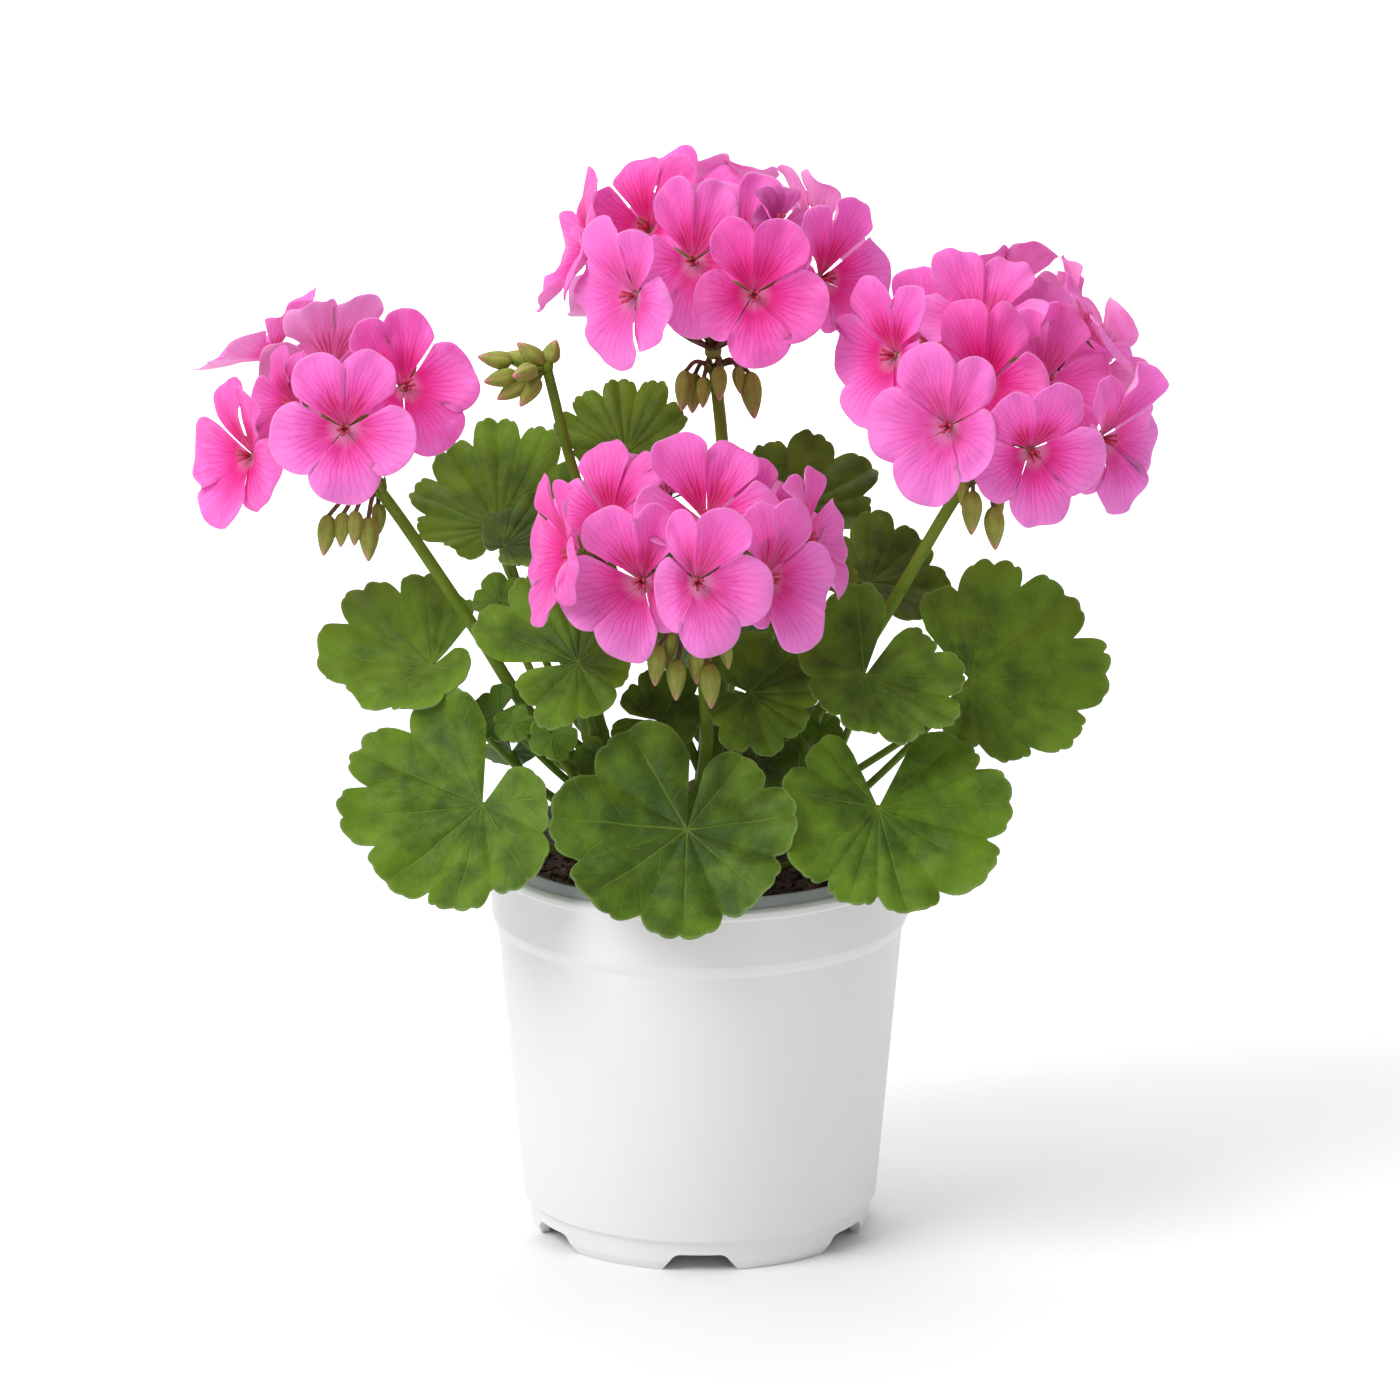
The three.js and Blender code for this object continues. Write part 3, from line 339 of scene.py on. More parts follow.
soil_mesh = turned([
    (0, FLOOR_TOP + 0.4),
    (SOIL_FOOT_RADIUS, FLOOR_TOP + 0.4),
    (SOIL_RADIUS, COLLAR_BOTTOM),
    *[(SOIL_RADIUS * (1 - i / SOIL_RINGS), SOIL_TOP) for i in range(SOIL_RINGS + 1)],
], SOIL_STEPS)
for vert in soil_mesh.verts:
    if vert.co.z > SOIL_TOP - 1:
        vert.co.z = soil_height(vert.co.x, vert.co.y)
piece("peat_soil", soil_mesh, [peat], ["potting_soil"])

draw = Random(41)
crumbs = bmesh.new()
for _ in range(CRUMB_COUNT):
    bearing, radius = draw.uniform(0, math.tau), (SOIL_RADIUS - 1.5) * math.sqrt(draw.random())
    size = draw.choice(CRUMB_SIZES)
    x, y = radius * math.cos(bearing), radius * math.sin(bearing)
    turn = Matrix.Rotation(draw.uniform(0, math.tau), 4, Vector((draw.random(), draw.random(), 0.3)))
    squash = Matrix.Diagonal((draw.uniform(0.7, 1.5), draw.uniform(0.6, 1), draw.uniform(0.5, 0.9), 1))
    place = Matrix.Translation((x, y, soil_height(x, y) + size * 0.25))
    bmesh.ops.create_icosphere(crumbs, subdivisions=1, radius=size, matrix=place @ turn @ squash)
piece("peat_crumbs", crumbs, [peat], ["potting_soil"], sharp=25)


# The branching stem: a short trunk, woody where it leaves the soil, that forks into four green
# shoots. It is round and fleshy, ringed by old leaf scars, and finely hairy.
SHOOTS = [
    (6.2, [(0, 6, 72), (0, 6, 92), (0, 6, 108), (1, 5, 122)]),
    (4.6, [(0, 6, 104), (-15, 3, 122), (-28, -1, 144), (-35, -3, 168)]),
    (4.6, [(0, 6, 104), (15, 4, 121), (27, 0, 141), (32, -2, 160)]),
    (4.6, [(0, 6, 110), (2, 12, 132), (4, 14, 152), (5, 15, 170)]),
    (4.6, [(0, 6, 108), (-1, -5, 121), (0, -13, 133), (0, -18, 145)]),
]
SHOOT_STATIONS = 40
SHOOT_SIDES = 18
SCAR_SPACING = 9
SCAR_HEIGHT = 0.07
CURVE_STEPS = 16


def smooth_path(points, count):
    """Evenly spaced places on a smooth curve through the points."""
    points = [Vector(point) for point in points]
    ends = [2 * points[0] - points[1], *points, 2 * points[-1] - points[-2]]
    fine = []
    for i in range(len(points) - 1):
        a, b, c, d = ends[i:i + 4]
        for j in range(CURVE_STEPS):
            t = j / CURVE_STEPS
            fine.append(0.5 * (2 * b + (c - a) * t + (2 * a - 5 * b + 4 * c - d) * t ** 2
                               + (3 * b - a - 3 * c + d) * t ** 3))
    fine.append(points[-1])
    walked = [0]
    for first, second in zip(fine, fine[1:]):
        walked.append(walked[-1] + (second - first).length)
    path = []
    here = 0
    for i in range(count + 1):
        wanted = walked[-1] * i / count
        while here < len(fine) - 2 and walked[here + 1] < wanted:
            here += 1
        share = (wanted - walked[here]) / (walked[here + 1] - walked[here])
        path.append(fine[here].lerp(fine[here + 1], share))
    return path


def upright_to(heading):
    """The turn that lays the upright along a heading."""
    return Vector((0, 0, 1)).rotation_difference(heading).to_matrix().to_4x4()


def sweep(mesh, path, widths, sides, material=0):
    """A round stem: one circle, extruded and turned from place to place along its path."""
    heading = (path[1] - path[0]).normalized()
    start = Matrix.Translation(path[0]) @ upright_to(heading)
    ring = bmesh.ops.create_circle(mesh, cap_ends=True, segments=sides, radius=widths[0], matrix=start)
    cap = ring["verts"][0].link_faces[0]
    made = [cap]
    edges = list(cap.edges)
    for i in range(1, len(path)):
        ahead = path[min(i + 1, len(path) - 1)] - path[i - 1]
        bend = heading.rotation_difference(ahead.normalized())
        heading = ahead.normalized()
        grown = bmesh.ops.extrude_edge_only(mesh, edges=edges)["geom"]
        verts = [item for item in grown if isinstance(item, bmesh.types.BMVert)]
        made += [item for item in grown if isinstance(item, bmesh.types.BMFace)]
        edges = [item for item in grown if isinstance(item, bmesh.types.BMEdge)
                 and all(vert in verts for vert in item.verts)]
        scale = widths[i] / widths[i - 1]
        move = (Matrix.Translation(path[i]) @ bend.to_matrix().to_4x4() @ Matrix.Scale(scale, 4)
                @ Matrix.Translation(-path[i - 1]))
        bmesh.ops.transform(mesh, matrix=move, verts=verts)
    made += bmesh.ops.edgeloop_fill(mesh, edges=edges)["faces"]
    for face in made:
        face.material_index = material

def shoot_place(shoot, up):
    """A place on a shoot's path and the shoot's direction there; up goes from 0 to 1."""
    path = smooth_path(SHOOTS[shoot][1], SHOOT_STATIONS)
    whole = min(int(up * SHOOT_STATIONS), SHOOT_STATIONS - 1)
    share = up * SHOOT_STATIONS - whole
    return path[whole].lerp(path[whole + 1], share), (path[whole + 1] - path[whole]).normalized()


stem_green = finish("green stem", (0.17, 0.22, 0.03), 0.55, Specular_IOR_Level=0.2)
stem_patches = grain(stem_green, 120, 4.0)
stem_fuzz = grain(stem_green, 1500, 3.0)
height_up = add(stem_green, "SeparateXYZ", add(stem_green, "TexCoord").node.outputs["Object"])
woody = steps(stem_green, height_up.node.outputs["Z"], 0.112, 0.13, 1.0, 0.0)
fresh = blend(stem_green, stem_patches, (0.065, 0.125, 0.005), (0.19, 0.28, 0.02))
dress(
    stem_green, blend(stem_green, woody, fresh, (0.14, 0.10, 0.045)),
    steps(stem_green, stem_patches, 0.3, 0.7, 0.6, 0.42),
    sums(stem_green, "ADD", stem_fuzz, stem_patches), depth=0.0003, strength=0.6,
)

stem_mesh = bmesh.new()
for radius, points in SHOOTS:
    route = smooth_path(points, SHOOT_STATIONS)
    walked = 0
    widths = []
    for i, place in enumerate(route):
        walked += (place - route[max(i - 1, 0)]).length
        scar = SCAR_HEIGHT * max(0, math.cos(math.tau * walked / SCAR_SPACING)) ** 6
        widths.append(radius * (1.04 - 0.14 * i / SHOOT_STATIONS + scar))
    sweep(stem_mesh, route, widths, SHOOT_SIDES)
bmesh.ops.recalc_face_normals(stem_mesh, faces=stem_mesh.faces)
piece("geranium_stem", stem_mesh, [stem_green], ["branching_stem"], sharp=50)


# The leaves: each is a round blade of shallow lobes with a finely toothed, hairy edge, pleated
# along its pale veins and open at the sinus, where it sits on a stiff round petiole. A leaf grew
# as one piece, so blade and petiole are one piece here. The young ones are smaller and yellower.
LEAF_THICKNESS = 0.6
PETIOLE_WIDTH = 1.2
PETIOLE_FLARE = 0.5
PETIOLE_STATIONS = 22
PETIOLE_SIDES = 10
ROOT_DEPTH = 2.6
TURN_TO_TIP = 0.5
NOTCH_DEPTH = 0.15
SINUS_SHARE = 0.8
TOOTH_DEPTH = 0.036
COLUMNS_A_TOOTH = 6
BLADE_ROWS = 15
LARGE_LEAF = 24
BLADE_HOLLOW = 0.1
PLEAT_HEIGHT = 0.03
FOLD_HEIGHT = 0.04
PUCKER_HEIGHT = 0.07
CALM_RUFFLE = 0.045
SEVEN_LOBES = [(-144, 0.8), (-98, 0.93), (-49, 1.02), (0, 1.06), (49, 1.02), (98, 0.93), (144, 0.8)]
FIVE_LOBES = [(-132, 0.85), (-67, 0.95), (0, 1.06), (67, 0.95), (132, 0.85)]


def even(length, turn):
    """The edges and lobes of a leaf that is the same to both sides."""
    lobes = SEVEN_LOBES if length > 20 else FIVE_LOBES
    return (turn - 168, turn + 168), [(bearing + turn, share * length) for bearing, share in lobes]


# Each leaf: hub, bearing and rise that it faces, its edges and its lobes as bearing and length in
# its own plane, and its root as shoot, height up the shoot and bearing of the side.
LEAVES = {
    "leaf_front": ((-4, -58, 143), (-92, 38), (-181, 166), [
        (-150, 36), (-94, 41), (-50, 38), (0, 36), (47, 32), (97, 33), (144, 29)], (4, 0.45, -90)),
    "leaf_front_left": ((-66, -45, 147), (-105, 40), (-173, 153), [
        (-151, 39), (-108, 43), (-78, 43), (-40, 38), (-3, 36), (38, 31), (101, 20)], (1, 0.18, -140)),
    "leaf_front_right": ((54, -48, 147), (-78, 38), (-164, 147), [
        (-145, 27), (-104, 30), (-55, 34), (-24, 34), (6, 36), (51, 39), (87, 40), (126, 34)],
        (2, 0.15, -50)),
    "leaf_left": ((-82, -13, 182), (-118, 50), (-200, 148), [
        (-182, 26), (-154, 34), (-124, 39), (-86, 38), (-46, 25), (-2, 17), (88, 13)], (1, 0.34, -165)),
    "leaf_right": ((83, -8, 176), (-68, 35), (-58, 213), [
        (-26, 21), (12, 28), (48, 36), (86, 44), (123, 44), (159, 38), (193, 30)], (2, 0.3, 0)),
    "leaf_inner_right": ((50, -35, 185), (-85, 40), (-202, 142), [
        (-178, 29), (-118, 21), (-57, 17), (-9, 19), (27, 26), (57, 31), (88, 30), (126, 23)],
        (2, 0.62, -15)),
    "leaf_shaded": ((15, -31, 178.5), (-90, 32), (-90, 244), [
        (-60, 14), (-17, 19), (18, 21), (54, 20), (90, 21), (133, 22), (178, 19), (220, 16)],
        (4, 0.78, -20)),
    "leaf_ruffled": ((52, 15, 201), (-80, 52), (21, 330), [
        (44, 22), (81, 25), (128, 23), (171, 25), (211, 17), (280, 10)], (2, 0.8, 40)),
    "leaf_upper_right": ((29, 34, 219), (-70, 45), (2, 284), [
        (40, 14), (80, 24), (112, 31), (155, 27), (190, 24), (225, 20), (261, 13)], (3, 0.6, 0)),
    "leaf_top": ((-23, 30, 238), (-100, 45), (52, 347), [
        (98, 15), (131, 22), (164, 26), (192, 26), (220, 25), (247, 24), (290, 14)], (3, 0.66, 150)),
    "leaf_upper_left": ((-62, 14, 219), (-108, 45), (51, 345), [
        (98, 20), (130, 28), (165, 34), (193, 37), (223, 34), (254, 30), (281, 25), (312, 15)],
        (1, 0.85, 140)),
    "leaf_behind_head": ((-60, -13, 220), (-75, 62), (-27, 295), [
        (3, 9), (46, 13), (84, 21), (115, 27), (142, 25), (172, 15), (249, 6)], (1, 1, 0)),
    "leaf_inner_left": ((-37, -38, 190), (-100, 42), (-79, 273), [
        (-56, 20), (-15, 24), (31, 19), (83, 16), (140, 18), (182, 24), (216, 32), (251, 34)],
        (1, 0.85, -90)),
    "leaf_inner_front": ((-12, -25, 168), (-80, 35), (-96, 256), [
        (-74, 16), (-20, 11), (54, 11), (104, 14), (147, 18), (188, 16), (228, 14)], (4, 0.66, 180)),
    "leaf_small_inner": ((18, -9, 151), (-90, 45), *even(13, 30), (0, 0.9, -60)),
    "leaf_small_right": ((37, -20, 164), (-80, 30), *even(7, 0), (2, 0.45, -40)),
    "leaf_small_upper": ((41, -5, 210), (-70, 30), *even(7, 60), (2, 0.66, 120)),
    "leaf_small_left": ((-61, -15, 203), (-110, 45), *even(9, -150), (1, 0.78, -150)),
    "young_leaf_a": ((-61, -15, 168), (-110, 40), *even(10, -40), (1, 0.48, 165)),
    "young_leaf_b": ((-57, -24, 167), (-95, 35), *even(6.5, 20), (1, 0.54, -75)),
    "young_leaf_c": ((-45, -28, 164), (-85, 35), *even(8, 10), (1, 0.42, -135)),
    "leaf_turned_away": ((-58, 5, 150), (100, 50), *even(11, 0), (1, 0.27, 140)),
    "leaf_low_left": ((-31, -15, 154), (-100, 40), *even(8, -20), (1, 0.28, -60)),
    "leaf_back_left": ((-94, 35, 178), (140, 40), *even(24, 0), (1, 0.4, 110)),
    "leaf_back": ((12, 58, 173), (92, 38), *even(30, 0), (3, 0.35, 90)),
    "leaf_back_low": ((21, 54, 141), (80, 28), *even(25, 0), (3, 0.18, 60)),
    "leaf_back_right": ((95, 35, 172), (45, 40), *even(28, 0), (2, 0.4, 60)),
    "leaf_back_upper_left": ((-58, 48, 215), (125, 50), *even(23, 0), (1, 0.75, 90)),
    "leaf_back_upper": ((5, 52, 200), (85, 42), *even(30, 0), (3, 0.82, 60)),
}
RUFFLES = {"leaf_ruffled": 0.1, "young_leaf_a": 0.2, "young_leaf_b": 0.25, "young_leaf_c": 0.25}

# How light the green of the leaves in front is, from 0 to 1: partly their own tone and partly painted
# light and shade for how the lamps fall on them; the others draw theirs.
LEAF_TONES_AND_PAINTED_LIGHT = {
    "leaf_front": 0.15, "leaf_front_left": 0.6, "leaf_front_right": 0.75, "leaf_right": 0.9,
    "leaf_left": 1.0, "leaf_inner_right": 0.45, "leaf_upper_left": 0.85, "leaf_top": 0.9,
    "leaf_inner_left": 0.6, "leaf_shaded": 0.4,
}


def facing(bearing, rise):
    """The directions out of a blade's face and down along it."""
    a, e = math.radians(bearing), math.radians(rise)
    out = Vector((math.cos(e) * math.cos(a), math.cos(e) * math.sin(a), math.sin(e)))
    down = Vector((math.sin(e) * math.cos(a), math.sin(e) * math.sin(a), -math.cos(e)))
    return out, down


def seat(first, out, place):
    """The matrix that seats a blade or floret: its x runs along first and its z out of its face."""
    turn = Matrix((first, out.cross(first), out)).transposed()
    return Matrix.Translation(place) @ turn.to_4x4()


def root_on(shoot, up, bearing):
    """Where a petiole or stalk starts inside a shoot, and the direction in which it leaves."""
    middle, along = shoot_place(shoot, up)
    if up == 1:
        return middle - along * ROOT_DEPTH, along
    side = Vector((math.cos(math.radians(bearing)), math.sin(math.radians(bearing)), 0))
    side = (side - along * side.dot(along)).normalized()
    start = middle + side * (SHOOTS[shoot][0] - ROOT_DEPTH)
    return start, (side + along * TURN_TO_TIP).normalized()


def leaf_edge(edges, lobes, along):
    """Bearing and length of the blade at a lobe's number plus the share of the way across it."""
    lobe = min(int(along), len(lobes) - 1)
    across = 2 * (along - lobe) - 1
    bearing, length = lobes[lobe]
    before = edges[0] if lobe == 0 else (lobes[lobe - 1][0] + bearing) / 2
    after = edges[1] if lobe == len(lobes) - 1 else (bearing + lobes[lobe + 1][0]) / 2
    half = bearing - before if across < 0 else after - bearing
    beside = lobe - 1 if across < 0 else lobe + 1
    joined = (length + lobes[beside][1]) / 2 if 0 <= beside < len(lobes) else SINUS_SHARE * length
    reach = (length + (joined - length) * across ** 2) * (1 - NOTCH_DEPTH * across ** 4)
    return math.radians(bearing + half * across), reach, across


def leaf_blade(mesh, edges, lobes, ruffle, draw):
    """A grid wound round the hub: its columns run from sinus to sinus and its rows to the rim."""
    size = max(length for _, length in lobes)
    teeth = 4 if size > LARGE_LEAF else 3
    drift = Vector((draw.uniform(0, 50), draw.uniform(0, 50), 0))
    layer = mesh.loops.layers.uv.new("blade")
    grid = bmesh.ops.create_grid(
        mesh, x_segments=teeth * COLUMNS_A_TOOTH * len(lobes), y_segments=BLADE_ROWS, size=0.5,
        matrix=Matrix.Translation((0.5, 0.5, 0)), calc_uvs=True,
    )
    for face in mesh.faces:
        for loop in face.loops:
            loop[layer].uv.x = (1 - loop[layer].uv.x) * len(lobes)
    for vert in grid["verts"]:
        along, row = (1 - vert.co.x) * len(lobes), vert.co.y
        angle, reach, across = leaf_edge(edges, lobes, along)
        uneven = noise.noise(Vector((along * 2.1, drift.x, drift.y)))
        tooth = abs(math.sin(math.pi * (teeth * along + 0.3 * uneven))) ** 0.5
        reach *= row * (1 + (0.02 - TOOTH_DEPTH * (1 + uneven) * (1 - tooth) + 0.03 * uneven) * row ** 6)
        share = reach / size
        hollow = BLADE_HOLLOW * share ** 2
        pleat = PLEAT_HEIGHT * share * math.cos(angle * 7)
        wave = ruffle * share ** 2 * math.sin(angle * 3 + size)
        fold = FOLD_HEIGHT * share * (math.sin(math.pi * abs(across)) - 0.5)
        flat = Vector((reach * math.cos(angle), reach * math.sin(angle), 0))
        puckers = PUCKER_HEIGHT * share * noise.noise(flat * 0.09 + drift)
        vert.co = flat + Vector((0, 0, size * (hollow + pleat + wave + fold + puckers)))
    bmesh.ops.remove_doubles(mesh, verts=mesh.verts, dist=1e-4)
    bmesh.ops.solidify(mesh, geom=mesh.faces[:], thickness=LEAF_THICKNESS)
    bmesh.ops.recalc_face_normals(mesh, faces=mesh.faces)
    for face in mesh.faces:
        face.material_index = 0 if face.normal.z > 0.05 else 1
    return mesh.verts[:]


def painted(material, name):
    """The value that a piece's mesh carries at each of its points under a name."""
    return add(material, "Attribute", attribute_name=name).node.outputs["Fac"]


def workers(material):
    """Adding, taking off, multiplying, a smooth change and a blend, all in one material."""
    return (*(partial(sums, material, kind) for kind in ("ADD", "SUBTRACT", "MULTIPLY")),
            partial(steps, material), partial(blend, material))


def mottled(name, scale, darker, lighter, roughness, relief=None, depth=0.0002, **even):
    """A material that wanders between two colours, with a fine relief if one is asked for."""
    material = finish(name, darker, roughness, **even)
    dress(
        material, blend(material, grain(material, scale), darker, lighter), None,
        grain(material, relief) if relief else None, depth,
    )
    return material


# Across a lobe, a leaf's pattern runs from 0 at the main vein to 1 at the notch, and along it from
# 0 at the hub to 1 at the rim.
VEIN_WOBBLE = 0.05
BRANCH_SLANT = 0.56
FIRST_BRANCH = 0.26
BRANCH_SPACING = 0.085
CELLS_A_METRE = 420
VEIN_STRENGTH = 0.42


def leaf_finish(name, deep, fresh, vein, hair_and_sheen, gloss):
    """Green between pale veins that fan out from the hub and fork towards every tooth."""
    material = finish(name, fresh, gloss, Specular_IOR_Level=0.16)
    plus, minus, times, ramp, mix = workers(material)
    place = add(material, "TexCoord").node
    spread = add(material, "SeparateXYZ", place.outputs["UV"]).node
    row = spread.outputs["Y"]
    wobble = times(minus(grain(material, 170, 2.0), 0.5), VEIN_WOBBLE)
    across = minus(sums(material, "FRACT", spread.outputs["X"]), 0.5)
    across = times(sums(material, "ABSOLUTE", across), 2.0)
    off_middle = plus(times(across, row), wobble)
    main = times(ramp(off_middle, 0.008, 0.03, 1.0, 0.0), ramp(row, 0.7, 1.0, 1.0, 0.25))
    branch = plus(times(minus(1.0, times(across, BRANCH_SLANT)), row), wobble)
    beside = sums(material, "PINGPONG", minus(branch, FIRST_BRANCH), BRANCH_SPACING)
    side = times(ramp(beside, 0.001, 0.011, 1.0, 0.0), ramp(branch, 0.2, 0.25, 0.0, 0.4))
    cells = material.node_tree.nodes.new("ShaderNodeTexVoronoi")
    cells.feature = "DISTANCE_TO_EDGE"
    cells.inputs["Scale"].default_value = CELLS_A_METRE
    material.node_tree.links.new(place.outputs["Object"], cells.inputs["Vector"])
    net = ramp(cells.outputs["Distance"], 0.02, 0.14, 0.12, 0.0)
    hub = ramp(row, 0.01, 0.06, 0.8, 0.0)
    veins = sums(material, "MAXIMUM", sums(material, "MAXIMUM", main, side),
                 sums(material, "MAXIMUM", hub, net))
    patches = plus(times(grain(material, 95, 4.0), 0.75), times(painted(material, "tone"), 0.2))
    patches = plus(patches, times(row, 0.2))
    ground = mix(ramp(patches, 0.38, 0.86), deep, fresh)
    colour = mix(times(veins, VEIN_STRENGTH), ground, vein)
    # The pale band at the rim is partly the pale colour of the fine hairs there and partly painted sheen
    # of light caught on them.
    colour = mix(ramp(row, 0.972, 0.997, 0.0, 0.45), colour, hair_and_sheen)
    relief = minus(times(grain(material, 500, 3.0), 0.4), veins)
    dress(material, colour, None, relief, depth=0.0005, strength=0.55)
    return material


leaf_top = leaf_finish("leaf green", (0.034, 0.073, 0.007), (0.138, 0.250, 0.014), (0.17, 0.26, 0.03),
                       (0.22, 0.30, 0.10), 0.5)
leaf_under = leaf_finish("pale underside", (0.10, 0.17, 0.055), (0.15, 0.235, 0.08), (0.27, 0.36, 0.14),
                         (0.34, 0.44, 0.22), 0.65)
young_top = leaf_finish("young leaf green", (0.065, 0.14, 0.010), (0.13, 0.23, 0.02), (0.24, 0.35, 0.07),
                        (0.32, 0.42, 0.17), 0.5)
petiole_green = mottled("petiole green", 90, (0.08, 0.15, 0.010), (0.21, 0.32, 0.04), 0.55, 1400,
                        Specular_IOR_Level=0.2)

draw = Random(7)
for name, (hub, faces, edges, lobes, root) in LEAVES.items():
    out, down = facing(*faces)
    leaf_mesh = bmesh.new()
    tone = leaf_mesh.verts.layers.float.new("tone")
    blade = leaf_blade(leaf_mesh, edges, lobes, RUFFLES.get(name, CALM_RUFFLE), draw)
    shade = LEAF_TONES_AND_PAINTED_LIGHT.get(name, draw.random())
    for vert in blade:
        vert[tone] = shade
    bmesh.ops.transform(leaf_mesh, matrix=seat(down, out, Vector(hub)), verts=blade)
    start, away = root_on(*root)
    end = Vector(hub) - out * 0.4
    pull = 0.22 * (end - start).length
    path = interpolate_bezier(start, start + away * pull, end - out * pull, end, PETIOLE_STATIONS)
    widths = [PETIOLE_WIDTH * (1 + PETIOLE_FLARE * (1 - i / (PETIOLE_STATIONS - 1)) ** 8)
              for i in range(PETIOLE_STATIONS)]
    sweep(leaf_mesh, path, widths, PETIOLE_SIDES, material=2)
    young = name.startswith("young")
    piece(
        name + "_blade", leaf_mesh, [young_top if young else leaf_top, leaf_under, petiole_green],
        [name], sharp=60,
    )


# The flower stalks: round green stems that grow out of the shoots and carry a head each. Unopened
# buds hang from the top of a stalk on thin dark pedicels, closed in five green sepals with pink
# petals showing between them, and small green bracts ring the place where the pedicels leave.
STALK_WIDTH = 2
STALK_STATIONS = 44
STALK_SIDES = 12
PEDICEL_WIDTH = 0.72
PEDICEL_SIDES = 7
UMBEL_WIDTH = 2.8
BUD_SIDES = 20
BUD_RINGS = 12
BUD_SLENDERNESS = 0.46
BUD_TAPER = 0.7
SEPAL_RIDGE = 0.09
BRACT_COUNT = 6

# Each stalk: root, the places its curve runs through, the umbel's middle, and its buds as the
# place of a bud's middle from the umbel and the bud's length.
STALKS = {
    "left": ((1, 0.62, 175), [(-50, -6, 162), (-69, -9, 193), (-89, -9, 224)], (-101, -8, 241), [
        (-13, -4, -18, 13), (-8, -5, -16, 11), (-4, -7, -15, 11), (0, -5, -19, 14), (3, 1, -14, 10)]),
    "top": ((3, 1, 0), [(6, 15, 200), (7, 14, 240)], (4, 12, 275), [
        (-9, -2, -12, 13), (-6, 3, -14, 13), (-3, -4, -12, 10), (2, -5, -9, 11), (8, -1, -9, 9),
        (12, 0, -14, 15)]),
    "right": ((2, 1, 0), [(43, -4, 174), (56, -6, 195), (77, -6, 232)], (87, -5, 244), [
        (-7, -2, -9, 8), (-4, -3, -15, 14), (3, -2, -20, 14), (4, 3, -14, 10)]),
    "front": ((4, 1, 0), [(2, -24, 160), (1, -33, 184)], (-3, -38, 208), [
        (-10, -7, -17, 13), (-4, -9, -21, 13), (2, -7, -17, 12), (6, -9, -23, 14), (11, -6, -14, 9),
        (-6, -4, -12, 10)]),
}


def stalk_path(root, places, umbel):
    """From the root in the shoot through the given places to just under the umbel."""
    top = Vector(umbel)
    end = top + (Vector(places[-1]) - top).normalized() * 4.35
    return smooth_path([root_on(*root)[0], *places, end], STALK_STATIONS)


def paint(made, index):
    """Gives the faces that an operator has just made to the piece's material of that number."""
    for face in {face for vert in made["verts"] for face in vert.link_faces}:
        face.material_index = index


def bud(mesh, foot, tip, width):
    """A spindle with five sepal ridges: a sphere drawn out along the bud and narrowed to a tip."""
    length = (tip - foot).length
    made = bmesh.ops.create_uvsphere(
        mesh, u_segments=BUD_SIDES, v_segments=BUD_RINGS, radius=0.5, calc_uvs=True,
    )
    for vert in made["verts"]:
        up = vert.co.z + 0.5
        around = math.atan2(vert.co.y, vert.co.x)
        broad = width * (1.15 - BUD_TAPER * up ** 1.6) * (1 + SEPAL_RIDGE * math.cos(5 * around))
        vert.co = Vector((vert.co.x * broad, vert.co.y * broad, vert.co.z * length))
    place = Matrix.Translation((foot + tip) / 2) @ upright_to(tip - foot)
    bmesh.ops.transform(mesh, matrix=place, verts=made["verts"])
    paint(made, 2)


def bracts(mesh, place, heading):
    """Small pointed scales set round the top of a stalk."""
    turn = upright_to(heading)
    for i in range(BRACT_COUNT):
        spin = Matrix.Rotation(math.tau * i / BRACT_COUNT, 4, "Z")
        lean = Matrix.Translation((2.7, 0, -0.8)) @ Matrix.Rotation(math.radians(28), 4, "Y")
        scale = Matrix.Diagonal((0.45, 1.5, 3.1, 1))
        bmesh.ops.create_icosphere(
            mesh, subdivisions=1, radius=1,
            matrix=Matrix.Translation(place) @ turn @ spin @ lean @ scale,
        )


pedicel_red = mottled("dark pedicel", 150, (0.075, 0.022, 0.014), (0.16, 0.08, 0.035), 0.5, 1500,
                      Specular_IOR_Level=0.3)
bud_green = finish("bud in its sepals", (0.2, 0.24, 0.05), 0.5, Specular_IOR_Level=0.3)
plus, minus, times, ramp, mix = workers(bud_green)
bud_place = add(bud_green, "SeparateXYZ", add(bud_green, "TexCoord").node.outputs["UV"]).node
gap = sums(bud_green, "FRACT", times(bud_place.outputs["X"], 5.0))
gap = sums(bud_green, "ABSOLUTE", minus(gap, 0.5))
bud_up = plus(bud_place.outputs["Y"], times(ramp(gap, 0.2, 0.45), 0.2))
bud_skin = mix(grain(bud_green, 300), (0.17, 0.22, 0.02), (0.38, 0.43, 0.08))
bud_skin = mix(ramp(gap, 0.42, 0.5, 0.0, 0.7), bud_skin, (0.36, 0.08, 0.08))
bud_skin = mix(ramp(bud_up, 0.76, 1.0), bud_skin, (0.72, 0.22, 0.30))
dress(bud_green, bud_skin, None, grain(bud_green, 1500), depth=0.0002, strength=0.6)

